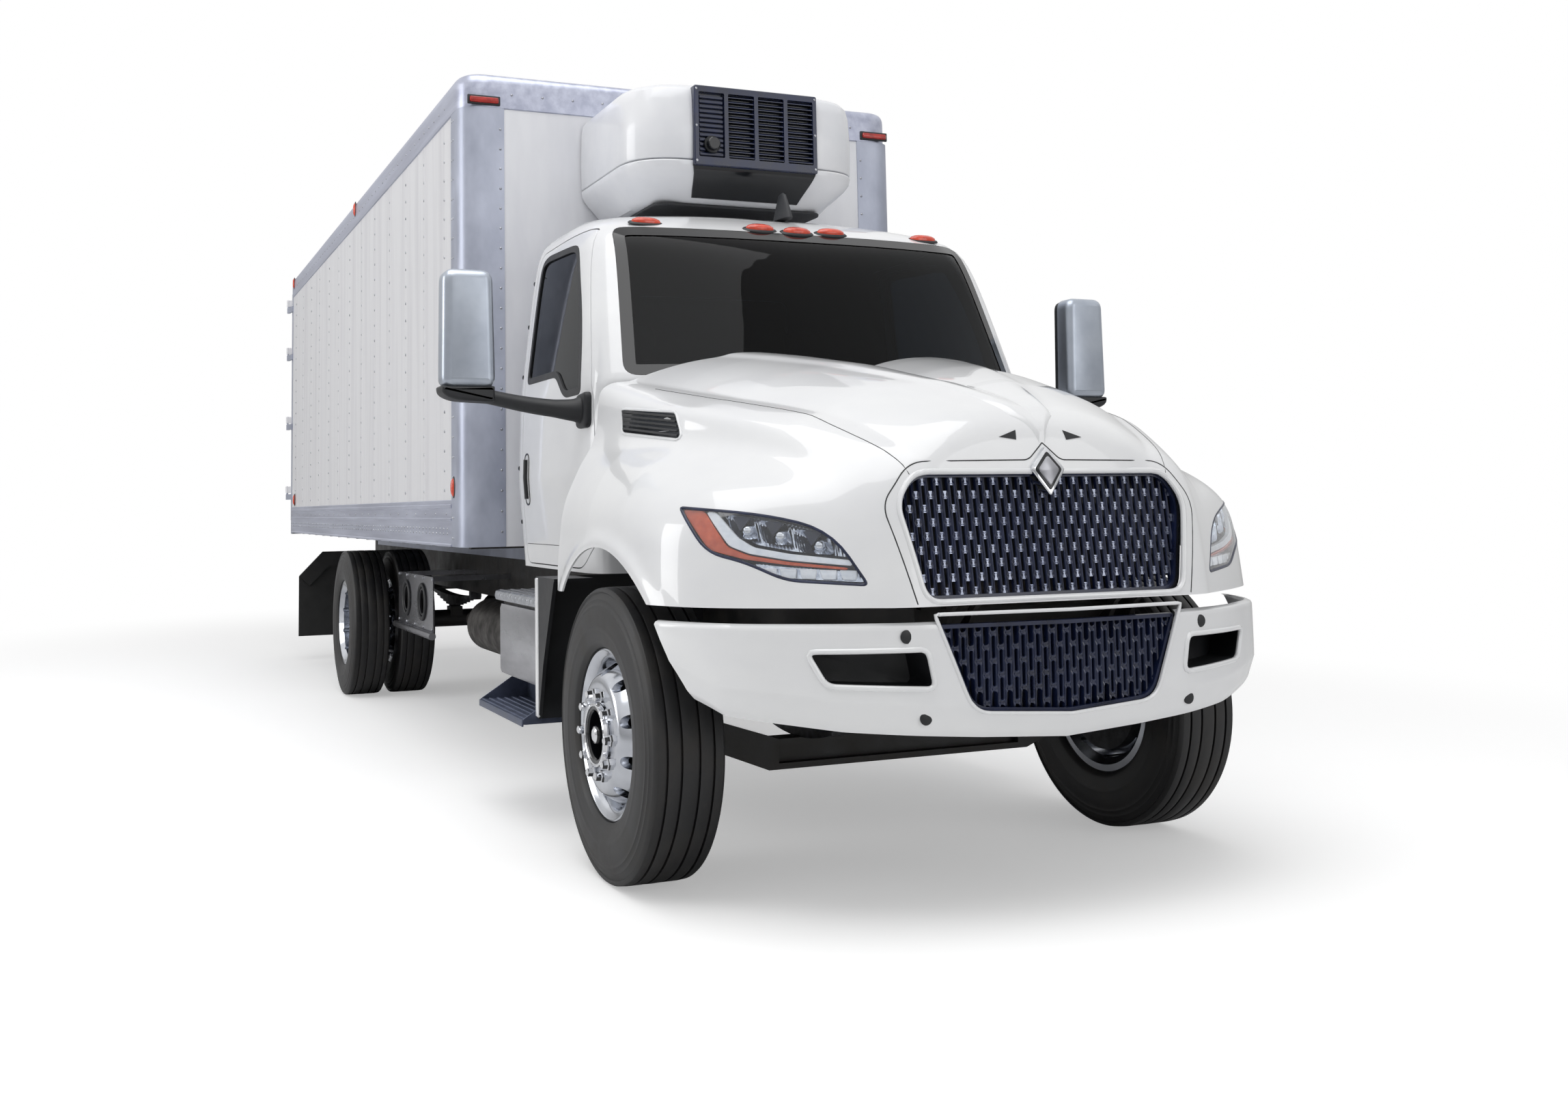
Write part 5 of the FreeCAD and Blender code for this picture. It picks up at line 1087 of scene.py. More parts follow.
BOX_HALF, BOX_FRONT_X, BOX_TAIL = 1.215, -2.0, -8.81
corner = softened([(BOX_TAIL, -BOX_HALF), (BOX_FRONT_X, -BOX_HALF), (BOX_FRONT_X, BOX_HALF), (BOX_TAIL, BOX_HALF)],
                  0.15, 13)
rail_top = softened([(.001, 3.306), (.006, 3.309), (.006, 3.486), (-.12, 3.486)], (.003, .055), 8)
rail_top = np.concatenate([rail_top, [(-.12, 3.47), (-.02, 3.44), (-.02, 3.306)]])
rail_low = [(-.004, 1.362), (.004, 1.358), (.004, 1.339), (.009, 1.335), (.009, 1.321), (.004, 1.317), (.004, 1.270),
            (.008, 1.266), (.008, 1.258), (.004, 1.254), (.004, 1.142), (.009, 1.136), (.009, 1.127), (-.03, 1.127)]
side_path = np.stack([np.linspace(BOX_TAIL, -2.216, 12), np.full(12, -BOX_HALF)], -1)
post_path = softened([(-2.216, -BOX_HALF), (BOX_FRONT_X, -BOX_HALF), (BOX_FRONT_X, -1.0)], 0.15, 17)
post_wall = [(.005, 1.127), (.005, 3.309), (-.004, 3.309), (-.004, 1.127)]
for name, shapes, metal, slot in (
        ("roof_rail", [swept(corner, rail_top)], RAIL_ALUMINIUM, "brushed_aluminium"),
        ("bottom_rails", both(swept(side_path, rail_low)), RAIL_ALUMINIUM, "brushed_aluminium"),
        ("corner_posts", both(swept(post_path, post_wall)), GALVANISED, "bright_steel")):
    piece(name, shapes, metal, "chassis", slot, (), 25)
joint_x = np.array([-2.39, -2.90, -3.42, -3.93, -4.46, -4.97, -5.49, -6.01, -6.50, -7.05, -7.54, -8.07, -8.58])
laps = [bar(x - .020, x + .020, -BOX_HALF - .0012, -BOX_HALF + .004, 1.355, 3.312, .0006) for x in joint_x[1::2]]
piece("side_panel_laps", laps + [mirrored(l) for l in laps], BOX_SHEET, "chassis", "body_panel", (), 25)

# %% [markdown]
# Rivets every 100 mm up each post, in close rows along the rails, and round the corner posts.
# %% Rivets
def rows(xs, zs, y):
    """Every pairing of x and z on the side wall."""
    x, z = [g.ravel() for g in np.meshgrid(xs, zs, indexing="ij")]
    return xyz(x, y, z)


post_rivets = rows(joint_x, np.arange(1.41, 3.29, 0.100), -BOX_HALF - .0005)
rail_rivets = np.concatenate([rows(np.arange(-8.76, -2.24, 0.128), [3.381], -BOX_HALF - .006),
                              rows(np.arange(-8.76, -2.24, 0.257), [1.290], -BOX_HALF - .004),
                              rows(np.arange(-8.76, -2.24, 0.086), [1.215, 1.191], -BOX_HALF - .004),
                              rows([-2.195, -2.165], np.arange(1.17, 3.30, 0.100), -BOX_HALF - .005)])
for name, places, size in (("post_rivets", post_rivets, .0085), ("rail_rivets", rail_rivets, .0065)):
    heads = studs(places, (0, -1.0, 0), size, size * .45, 8)
    piece(name, both(heads), BRIGHT_STEEL, "chassis", "bright_steel", (), 50)
y = np.arange(-0.96, 1.0, 0.16)
front_heads = np.concatenate([xyz(BOX_FRONT_X + .006, y, 3.38)]
                             + [xyz(BOX_FRONT_X + .005, side, np.arange(1.2, 3.3, .1)) for side in (-1.02, 1.02)])
heads = studs(front_heads, (1.0, 0, 0), .0065, .003, 8)
piece("front_rivets", [heads], BRIGHT_STEEL, "chassis", "bright_steel", (), 50)
print("rivets:", 2 * len(post_rivets) + 2 * len(rail_rivets) + len(front_heads))


def oval(place, out, along, length, width, height, turns=28):
    """An oval dome: rings shrink by a quarter-circle rule as they rise along the outward direction."""
    out, along = np.array(out, float), np.array(along, float)
    out, along = out / np.linalg.norm(out), along / np.linalg.norm(along)
    across = np.cross(out, along)
    a = full_turn(turns)[None, :, None]
    t = np.array([0, 0, .3, .6, .8, .92, 1.0])[:, None, None] * np.pi / 2
    rise = np.concatenate([[[[-0.35]]], np.sin(t[1:])])
    flat = np.sign(np.cos(a)) * np.abs(np.cos(a)) ** 0.8
    rings = (np.array(place, float) + out * height * rise
             + np.cos(t) ** 0.7 * (along * length / 2 * flat + across * width / 2 * np.sin(a)))
    return stacked(rings)


lamps, feet = [], []
for x, z in ((-2.164, 1.421), (-5.228, 3.425), (-8.60, 1.425), (-8.72, 3.425)):
    spot = (x, -BOX_HALF - .005, z)
    lamps += both(oval(spot, (0, -1, 0), (0, 0, 1), .095, .048, .016))
    feet += both(oval(spot, (0, -1, 0), (0, 0, 1), .112, .062, .006))
for mark, paint, shapes in (("side_marker_lenses", MARKER, lamps), ("side_marker_bases", BLACK_PLASTIC, feet)):
    piece(mark, shapes, paint, "chassis", "lamp_lens", (), 40)
for name, block, paint in (("lenses", bar(-1.992, -1.975, -1.177, -1.031, 3.326, 3.356, .005), RED),
                           ("bases", bar(-1.999, -1.985, -1.187, -1.021, 3.317, 3.365, .003), BLACK_PLASTIC)):
    piece("header_corner_" + name, both(block), paint, "chassis", "lamp_lens")

# %% [markdown]
# ## Refrigeration unit
# Two white shells over a tapered pan, with a dark louvred panel between them. Each is a stack of level
# rings: the same rounded plan, drawn in at the top edge, at the seam and towards the bottom.
# %% Unit covers
UNIT_BACK = -1.99


def unit_cover(name, levels, bend, material, slot, hides=(), crease=32):
    """A stack of the unit's rounded plans, one for each (z, front x, half width) of its levels; their
    back edges lie on the body's front wall."""
    plans = [rounded([(UNIT_BACK, -half), (front, -half), (front, half), (UNIT_BACK, half)],
                     (.004, bend, bend, .004), 15) for z, front, half in levels]
    rings = [xyz(*plan.T, level[0]) for plan, level in zip(plans, levels)]
    piece(name, [stacked(rings)], material, "chassis", slot, hides, crease)


upper = [(2.917, -1.190, .590), (2.920, -1.182, .598), (2.926, -1.180, .600), (3.06, -1.176, .602),
         (3.20, -1.182, .598), (3.245, -1.190, .590), (3.268, -1.206, .574), (3.280, -1.232, .548),
         (3.285, -1.275, .50), (3.287, -1.36, .42)]
pan = [(2.914, -1.190, .590), (2.911, -1.182, .598), (2.905, -1.180, .600), (2.880, -1.184, .596),
       (2.855, -1.200, .582), (2.825, -1.235, .556), (2.790, -1.280, .524), (2.760, -1.312, .500),
       (2.745, -1.335, .480), (2.740, -1.40, .42)]
core = [(z, -1.20, .58) for z in (2.90, 2.93)]
unit_cover("unit_top_shell", upper, .27, REEFER_SKIN, "moulded_white", ["refrigeration_unit"], 30)
unit_cover("unit_pan", pan, .27, REEFER_SKIN, "moulded_white", (), 30)
unit_cover("unit_seam", core, .26, BLACK_PLASTIC, "black_plastic")
recess = rounded([(-1.34, -.44), (-1.34, .44), (-1.95, .44), (-1.95, -.44)], .08, 6)
piece("unit_underside", [plate(recess, "z", 2.728, 2.742, .003)], DASH_VINYL, "chassis", "black_plastic")

# %% [markdown]
# The panel is a frame with four bays. The bay at the right-hand side of the truck has closed ribs and a
# round knob; the other three are open louvres, whose slats tilt down and forward to shed rain.
# %% Louvred panel
panel_edge = rounded([(-.318, 2.885), (.318, 2.885), (.318, 3.262), (-.318, 3.262)], .010, 4)
panel = object_from("unit_panel", [plate(panel_edge, "x", -1.205, -1.152, .004)])
bays = [(-.296, -.166), (-.146, -.012), (.008, .142), (.162, .296)]
cut(panel, [plate(rounded([(a, 2.925), (b, 2.925), (b, 3.232), (a, 3.232)], .006, 3), "x", -1.1745, -1.10,
                  CUT_EDGE) for a, b in bays])
finish_piece(panel, NAVY_PLASTIC, "chassis", "grille_plastic", (), 30)


def slat(y0, y1, z, tilt=.010, thick=.004, x0=-1.172, x1=-1.156):
    """One louvre blade: a flat strip whose front edge is lower than its back edge."""
    ring = np.array([(x0, z + tilt), (x1, z), (x1, z - thick), (x0, z + tilt - thick)])
    return stacked([xyz(ring[:, 0], y, ring[:, 1]) for y in (y0, y1)])


open_slats = [slat(a, b, z) for a, b in bays[1:] for z in np.arange(2.936, 3.225, .0235)]
closed_ribs = [bar(-1.176, -1.158, bays[0][0] + .004, bays[0][1] - .004, z, z + .015, .003)
               for z in np.arange(2.932, 3.22, .0225)]
backs = [bar(-1.1755, -1.1735, a + .001, b - .001, 2.927, 3.230, .0005) for a, b in bays[1:]]
piece("unit_bay_backs", backs, GLOSS_BLACK, "chassis", "grille_plastic")
piece("unit_louvres", open_slats + closed_ribs, NAVY_PLASTIC, "chassis", "grille_plastic", (), 30)
skirt_z = np.linspace(2.890, 2.762, 12)[:, None]
skirt_y = np.linspace(-1, 1, 9)[None, :] * np.interp(skirt_z, (2.762, 2.89), (.275, .318))
pan_z, pan_x = zip(*sorted((z, x) for z, x, _ in pan))
skirt = xyz(np.interp(skirt_z, pan_z, pan_x) + .010, skirt_y, skirt_z)
piece("unit_skirt", [shell(skirt, skirt - (.03, 0, 0))], GLOSS_BLACK, "chassis", "grille_plastic", (), 30)
knob = [(0, .040), (.026, .040), (.030, .036), (.031, .014), (.040, .012), (.042, .004), (.042, -.01), (0, -.01)]
r, o = np.array(knob).T
a = full_turn(28)[:, None]
dial = xyz(-1.160 + o, -.231 + r * np.cos(a), 2.985 + r * np.sin(a))
piece("unit_knob", [grid(dial, close_u=True, close_v=True)], GLOSS_BLACK, "chassis", "grille_plastic", (), 40)
screws = [(-1.152, s * .307, z) for s in (-1, 1) for z in (2.905, 3.07, 3.245)]
piece("unit_screws", [studs(screws, (1.0, 0, 0), .006, .003, 10)], BRIGHT_STEEL, "chassis", "bright_steel")
fin_levels = ((2.62, .085, .030), (2.66, .070, .024), (2.70, .050, .018), (2.735, .030, .012), (2.745, .012, .006))
fin = [xyz(-1.02 + rx * np.cos(a[:, 0]), .06 + ry * np.sin(a[:, 0]), z) for z, rx, ry in fin_levels]
piece("roof_antenna_fin", [stacked(fin)], DASH_VINYL, "chassis", "black_plastic", (), 40)
print("refrigeration unit made")

# %% [markdown]
# ## Tyres and wheels
# Both are profiles turned round the axle. The tyre has four straight grooves in its tread and fine
# rings on its wall; the forged wheel has a flange, a bowl with ten hand holes, and a flat nut ring.
# %% Tyres
def tyre_line(width, tyre_r=TYRE_R, rim_r=.298):
    """Radius and offset round the section: tread with grooves 9 mm wide and 12 mm deep, shoulders of
    10 mm, and a wall that swells to its widest at two fifths of its height, ringed by low ridges."""
    w, tread = width / 2, width / 2 - .022
    half = [(tyre_r, 0.0)]
    for mid in (.26 * tread, .68 * tread):
        half += [(tyre_r - .0006, mid - .0055), (tyre_r - .0010, mid - .0045), (tyre_r - .012, mid - .0035),
                 (tyre_r - .012, mid + .0035), (tyre_r - .0010, mid + .0045), (tyre_r - .0006, mid + .0055)]
    half += [(tyre_r - .003, tread - .006), (tyre_r - .007, tread), (tyre_r - .016, tread + .005)]
    t = np.linspace(.10, .93, 26)
    wall_r = tyre_r - t * (tyre_r - rim_r - .002)
    wall_o = (w - .002) - .020 * ((t - .58) / .48) ** 2
    ridge = sum(.0022 * np.exp(-((t - c) / .012) ** 2) for c in (.15, .20, .30, .62, .67, .88))
    half += list(zip(wall_r, np.minimum(wall_o + ridge, w)))
    half += [(rim_r + .004, .117), (rim_r + .001, .105), (.284, .096)]
    return [(r, -o) for r, o in reversed(half[1:])] + half


WHEELBASE, FRONT_Y, REAR_Y, REAR_HUB_Y = 5.780, (1.055,), (.765, 1.085), .925
# %% Wheels
def rim_line(face):
    """Flange, bead seat and barrel as on the frame's wheel; the disc turns on large radii, so that its
    bowl reflects in one smooth sweep from the flange to the nut ring."""
    w, side = .111, 1 if face > 0 else -1
    inner = [(.112, face), (.172, face), (.196, face - side * .006), (.2365, face - side * .070),
             (.243, face - side * .092), (.243, -side * (w - .030)), (.268, -side * (w - .004)),
             (.272, -side * w), (.298, -side * w), (.2985, -side * (w - .007)), (.2837, -side * (w - .014)),
             (.2837, -side * (w - .040)), (.262, -side * (w - .064)), (.262, side * (w - .064)),
             (.2837, side * (w - .040)), (.2837, side * (w - .014)), (.2985, side * (w - .007)),
             (.2975, side * (w + .001)), (.292, side * (w + .003)), (.286, side * (w - .001)),
             (.272, side * (w - .006)), (.262, side * (w - .016)), (.256, side * (w - .034)),
             (.252, face - side * .060)]
    bowl = softened([(.252, face - side * .060), (.246, face - side * .050), (.208, face + side * .012),
                     (.186, face + side * .022), (.112, face + side * .022)], (.006, .03, .018), 7)
    return inner[:-1] + [tuple(p) for p in bowl]


def turned_along(profile, places, y0, side, turns=12):
    """Small turned parts, such as nuts, at many places round a wheel: profile of (radius, offset)."""
    r, o = np.array(profile, float).T
    a = full_turn(turns)[:, None]
    one = xyz(r * np.cos(a), side * o, r * np.sin(a))
    return copies(np.array(places, float)[:, None, None] + one[None] + (0, y0, 0), close_u=True)


def ring_of(radius, x, offset=0.0):
    """Ten places round a wheel."""
    a = np.arange(10) * 2 * np.pi / 10 + offset
    return xyz(x + radius * np.cos(a), 0.0, TYRE_R + radius * np.sin(a))


HAND_HOLE = [(0, .25), (.0235, .25), (.0235, -.25), (0, -.25)]
NUT = [(0, .036), (.009, .036), (.0150, .032), (.0160, .014), (.0215, .012), (.0225, .006), (.0225, -.002),
       (0, -.002)]
HUB = [(.110, .141), (.112, .150), (.104, .157), (.088, .157), (.083, .150), (.081, .100), (.060, .092), (.036, .092),
       (.034, .150), (.030, .158), (.0, .158), (.0, .02), (.11, .02)]
TRIM = [(.111, .141), (.1135, .148), (.110, .160), (.104, .163), (.099, .160), (.100, .141)]
CAP = [(0, .164), (.020, .163), (.027, .158), (.028, .150), (0, .150)]
DRUM = [(.0, -.03), (.205, -.046), (.212, -.050), (.212, -.100), (.200, -.104), (.0, -.104)]
SHAFT_CAP = [(0, .105), (.070, .104), (.084, .098), (.090, .088), (.092, .026), (.110, .024), (.112, -.03),
             (0, -.03)]
REAR_DRUM = [(0, -.145), (.19, -.150), (.205, -.162), (.208, -.285), (.195, -.290), (0, -.290)]


def tyres(name, places, x, side, width, body, hides):
    """The rubber of one or two tyres on one axle end."""
    piece(name, [lathe(tyre_line(width), side * y, x, TYRE_R, side, 128) for y in places], TYRE_RUBBER, body,
          "tyre_rubber", hides, 28)


def discs(name, places, faces, x, side, body):
    """Turned discs with their hand holes cut by ten rods along the axle."""
    disc = object_from(name, [lathe(rim_line(f), side * y, x, TYRE_R, side, 120) for y, f in zip(places, faces)])
    for y in places:
        cut(disc, [turned_along(HAND_HOLE, ring_of(.226, x, np.pi / 10), side * y, 1, 24)])
    finish_piece(disc, POLISHED, body, "wheel_aluminium", [body], 30)


for side, mark in ((1, "left"), (-1, "right")):
    front, rear = "front_%s_" % mark, "rear_%s_" % mark
    tyres(front + "tyre_rubber", FRONT_Y, 0.0, side, .285, front + "wheel", [front + "tyre"])
    tyres(rear + "tyre_rubber", REAR_Y, -WHEELBASE, side, .275, rear + "wheels", [rear + "tyres"])
    discs(front + "disc", FRONT_Y, [.118], 0.0, side, front + "wheel")
    discs(rear + "discs", REAR_Y, [.138, -.138], -WHEELBASE, side, rear + "wheels")
    turned = lambda profile, y, x, turns=64: lathe(profile, side * y, x, TYRE_R, side, turns)
    nuts = lambda x, y: [turned_along(NUT, ring_of(.1429, x), side * y, side, 6)]
    trims = [turned(TRIM, *FRONT_Y, 0.0), turned(CAP, *FRONT_Y, 0.0, 32)]
    for part, shapes, metal, slot in (
            (front + "nuts", nuts(0.0, 1.195), CHROME, "bright_steel"),
            (rear + "nuts", nuts(-WHEELBASE, .947), CHROME, "bright_steel"),
            (front + "hub", [turned(HUB, *FRONT_Y, 0.0)], GLOSS_BLACK, "bright_steel"),
            (front + "hub_trim", trims, CHROME, "bright_steel"),
            (front + "drum", [turned(DRUM, *FRONT_Y, 0.0)], CASTING, "engine_metal"),
            (rear + "hub", [turned(SHAFT_CAP, REAR_HUB_Y, -WHEELBASE)], CHASSIS_ENAMEL, "engine_metal"),
            (rear + "drum", [turned(REAR_DRUM, REAR_HUB_Y, -WHEELBASE)], CASTING, "engine_metal")):
        piece(part, shapes, metal, front + "wheel" if part.startswith(front) else rear + "wheels", slot, (), 30)
print("wheels made")


# %% [markdown]
# ## Headlamps
# A clear lens flush with the fender, over a tray. Inside: an orange turn section round an L-shaped
# white light guide, three mirrored chambers above, and five small ribbed lenses along the bottom.
# Every part is an outline on the lamp's face, set back behind the lens by a depth of its own.
# %% Lamp parts
def on_lamp(flat, back):
    """From a point of the lamp's flat outline, out along the lamp's direction to the fender's face,
    and back in by a given depth."""
    flat = np.asarray(flat, float)
    out = np.array([*lamp_out, 0.0])
    start = in_lamp(flat, np.full(flat.shape[:-1], -0.30))
    return meet(hood_form, start, out, 0.7) - out * np.asarray(back, float)[..., None]


def lamp_slab(line, back, thick, edge=0.0015):
    """An outline on the lamp's face as a thin part with eased edges."""
    line = dense(np.array(line, float), 0.010)
    small = inset(line, edge)
    return stacked([on_lamp(l, np.full(len(line), b)) for l, b in
                    ((line, back + thick), (line, back + edge), (small, back))])


lens = object_from("headlamp_lenses", [shell(hood_skin(-0.0015), hood_skin(-0.0045))])
cut(lens, both(lamp_block(inset(LAMP_EDGE, .004), -0.15, 0.25)), keep_inside=True)
finish_piece(lens, CLEAR_LENS, "hood", "lamp_lens", ["headlamps"], 40)
ring = dense(LAMP_EDGE, 0.010)
seal = tube(on_lamp(inset(ring, .004), np.full(len(ring), .004)), .0055, 8, closed=True)
piece("headlamp_seals", both(seal), LAMP_SEAL, "hood", "lamp_lens")
depths = np.array([.008, .03, .06, .085])
tray = floored(np.stack([on_lamp(inset(ring, .001), np.full(len(ring), d)) for d in depths]))
inner = floored(np.stack([on_lamp(inset(ring, .004), np.full(len(ring), d - .002)) for d in depths]))
piece("headlamp_trays", both(shell(tray, inner, close_v=True)), LAMP_SEAL, "hood", "lamp_lens")
AMBER_EDGE = [(.618, 1.300), (.512, 1.170), (.395, 1.141), (.25, 1.122), (.07, 1.106), (.07, 1.113), (.25, 1.132),
              (.380, 1.153), (.450, 1.180), (.535, 1.293)]
GUIDE_EDGE = [(.530, 1.292), (.445, 1.183), (.378, 1.158), (.25, 1.137), (.055, 1.118), (.060, 1.136), (.25, 1.157),
              (.365, 1.178), (.415, 1.208), (.492, 1.288)]
BEZEL_EDGE = [(.488, 1.287), (.411, 1.210), (.362, 1.183), (.25, 1.162), (.065, 1.141), (.105, 1.190), (.150, 1.222),
              (.330, 1.266)]
FOOT_EDGE = [(.372, 1.128), (.250, 1.116), (.040, 1.100), (.020, 1.066), (.255, 1.080), (.345, 1.108)]
for mark, line, back, thick, material in (
        ("amber_turn_lamps", AMBER_EDGE, .014, .012, AMBER), ("light_guides", GUIDE_EDGE, .012, .014, LIGHT_GUIDE),
        ("lamp_bezels", BEZEL_EDGE, .060, .006, REFLECTOR), ("lamp_foot_bezels", FOOT_EDGE, .034, .006, REFLECTOR)):
    piece(mark, both(lamp_slab(rounded(line, .012, 4), back, thick)), material, "hood", "lamp_lens")


def chamber(u, z, wide, tall, lean=.012):
    """One mirrored chamber: a dish whose rim is a rounded rectangle and whose depth falls off with the
    square of the distance from its middle, split into four flutes."""
    a = full_turn(48)[None, :]
    t = np.linspace(0, 1, 9)[:, None]
    shape = (np.abs(np.cos(a)) ** 5 + np.abs(np.sin(a)) ** 5) ** -0.2
    du, dz = wide / 2 * t * shape * np.cos(a), tall / 2 * t * shape * np.sin(a)
    flat = np.stack([u + du + lean * dz / tall * 2, z + dz + 0.10 * du], -1)
    back = .056 - .034 * t ** 2 + .0025 * np.sin(4 * a) * t * (1 - t) * 4
    front, rear = on_lamp(flat, back + 0 * a), on_lamp(flat, back + .004 + 0 * a)
    return shell(front, rear, close_v=True)


cups, wedges, balls, cells = [], [], [], []
for u, z, wide in ((.405, 1.240, .085), (.300, 1.222, .095), (.178, 1.192, .110)):
    cups += both(chamber(u, z, wide, .072))
    wedges += both(lamp_slab([(u + .040, z + .040), (u + .008, z - .012), (u - .026, z + .030)], .030, .020))
    spot = on_lamp(np.array([[u - .014, z - .010]]), np.array([.044]))[0]
    balls += both(oval(spot, (*lamp_out, 0), (0, 0, 1), .034, .034, .014, 20))
for k in range(5):
    u = .318 - .062 * k
    low, high = 1.079 + .030 * (u - .2), 1.108 + .030 * (u - .2)
    cell = [(u + .026, high + .002), (u - .026, high), (u - .022, low), (u + .020, low + .002)]
    cells += both(lamp_slab(cell, .016, .012))
for name, shapes, material, crease in (("chambers", cups, REFLECTOR, 32), ("wedges", wedges, LAMP_SEAL, 32),
                                       ("projectors", balls, CHROME, 60), ("foot_cells", cells, LIGHT_GUIDE, 32)):
    piece("lamp_" + name, shapes, material, "hood", "lamp_lens", (), crease)
print("headlamps made")

# %% [markdown]
# ## Marks on the hood
# Seams are thin dark lines laid into the skin along a path on it, and a dark line of the same kind along each
# shoulder crease is painted shade; the side vents are dark louvres in a raised frame; and a plain diamond plate
# stands at the top of the grille, with nothing on it.
# %% Seams, vents and plate
seam_line = softened([(0.0, 1.498), (.062, 1.442), (.492, 1.438), (.600, 1.305), (.522, 1.000)], (.02, .06, .05), 9)
right = on_nose(*resampled(seam_line, 110).T, -0.0008)
# The crease lines are painted shade: dark tubes along each shoulder, where the hood's top turns down into its side.
crease_x = np.linspace(.985, -.20, 60)
crease_y = np.interp(crease_x, [-.528, -.15, .157, .46, .581, .69, .787, .877, .932, .985],
                     [.960, .880, .800, .685, .643, .614, .582, .549, .526, .498])
crease = on_top(crease_x, crease_y, -0.0008)
seams = both(tube(right, .0024, 8)) + both(tube(crease, .0018, 8))
piece("hood_seams_and_crease_shade", seams, BLACK_PLASTIC, "hood", "black_plastic")
VENT_EDGE = rounded([(-.295, 1.683), (.120, 1.643), (.195, 1.545), (-.265, 1.592)], .025, 6)


def on_flank(flat, level):
    """Points of an outline in (x, z) laid on the hood's right flank."""
    return on_side(flat[..., 0], flat[..., 1], -1, level)


def flank_slab(line, low, high, edge=.002):
    """An outline on the flank as a thin part with eased edges, between two depths."""
    line = dense(np.array(line, float), .012)
    small = inset(line, edge)
    return stacked([on_flank(line, low), on_flank(line, high - edge), on_flank(small, high)])


vents, blades = both(flank_slab(VENT_EDGE, -.010, .002)), []
for k in range(5):
    f = (k + .6) / 5.4
    a, b = np.array([-.285, 1.683 - .088 * f]), np.array([.125 + .062 * f, 1.640 - .094 * f])
    strip = [a + (.006 * k, .004), b + (-.008, .004), b + (-.006, -.004), a + (.006 * k, -.004)]
    blades += both(flank_slab(strip, -.002, .0065, .001))
piece("hood_side_vents", vents, GLOSS_BLACK, "hood", "black_plastic")
piece("hood_vent_blades", blades, BLACK_PLASTIC, "hood", "black_plastic")
vent_rim = tube(on_flank(dense(inset(VENT_EDGE, -.003), .012), .001), .0055, 8, closed=True)
piece("hood_vent_rims", both(vent_rim), CAB_PAINT, "hood", "cab_paint")
nose_vents = []
for s in (-1, 1):
    tri = np.array([(s * .092, 1.540), (s * .160, 1.517), (s * .098, 1.508)])
    ring = np.concatenate([np.linspace(tri[i], tri[(i + 1) % 3], 6, endpoint=False) for i in range(3)])
    nose_vents.append(stacked([on_nose(*ring.T, level) for level in (-.004, .0015)]))
piece("nose_vents", nose_vents, GLOSS_BLACK, "hood", "black_plastic")
along, over = np.linspace(.52, .988, 50)[:, None], np.linspace(-1, 1, 25)[None, :]
half = np.interp(along, (.52, .93, .988), (.21, .085, .012))
rise = .011 * np.interp(along, (.52, .80), (0, 1)) * np.minimum((1 - np.abs(over)) / .22, 1)
beak = [on_top(along + 0 * over, half * over, level) for level in (rise - .0008, -.008 + 0 * rise)]
piece("hood_ridge", [shell(*beak)], CAB_PAINT, "hood", "cab_paint", (), 50)
DIAMOND = np.array([(0, 1.325), (.066, 1.412), (0, 1.487), (-.066, 1.412)])


def badge(scale, back, thick, edge):
    """A diamond outline on the leaning nose plane, scaled about its middle."""
    line = rounded((DIAMOND - (0, 1.408)) * scale + (0, 1.408), .010, 5)
    leaning = lambda flat, out: xyz(1.066 - NOSE_LEAN * (flat[:, 1] - HOOD_FOOT) + out, *flat.T)
    return stacked([leaning(line, back - thick), leaning(line, back), leaning(inset(line, edge), back + edge * .6)])


for name, size, material, slot in (("rim", (1.0, .004, .035, .004), CHROME, "bright_steel"),
                                   ("field", (.80, .0072, .006, .002), GLOSS_BLACK, "grille_plastic"),
                                   ("centre", (.62, .0098, .006, .003), BRUSHED, "bright_steel")):
    piece("plain_plate_" + name, [badge(*size)], material, "hood", slot)
print("hood marks made")

# %% [markdown]
# ## Cab details
# Roof markers, wipers, black screws down the cab's rear edge, the handle recess and the door's lower
# seam all lie on the cab's form, met by rays from inside it.
# %% Cab details
def on_wall(x, z, side, level=0.0):
    """The cab's side wall met from the middle at (x, z)."""
    return on_cab(xyz(x, 0.0, z), (0, float(side), 0), level)


def cab_normal(p):
    """The form's slope at a point: three differences of 2 mm, made one unit long."""
    steps = np.eye(3) * .002
    n = np.array([cab_form(p + s) - cab_form(p - s) for s in steps])
    return n / np.linalg.norm(n)


lenses, bases = [], []
for y in (0.0, .207, -.207, .800, -.800):
    ahead = np.interp(abs(y), (0, .8), (.62, .47))
    spot = on_cab(np.array([CAB_MID, y * .55, 2.30]), np.array([ahead, y * .45, .33]))
    n = cab_normal(spot)
    bases.append(oval(spot, n, (0, 1, 0), .165, .070, .010))
    lenses.append(oval(spot + n * .006, n, (0, 1, 0), .135, .050, .020))
piece("roof_marker_bases", bases, BLACK_PLASTIC, "chassis", "lamp_lens", (), 40)
piece("roof_marker_lenses", lenses, MARKER, "chassis", "lamp_lens", (), 40)


def on_screen(y, z, out=0.0):
    """The windshield met from behind at (y, z), then moved out along X."""
    return on_cab(xyz(CAB_MID, y, z), (1.0, 0, 0)) + (out, 0, 0)


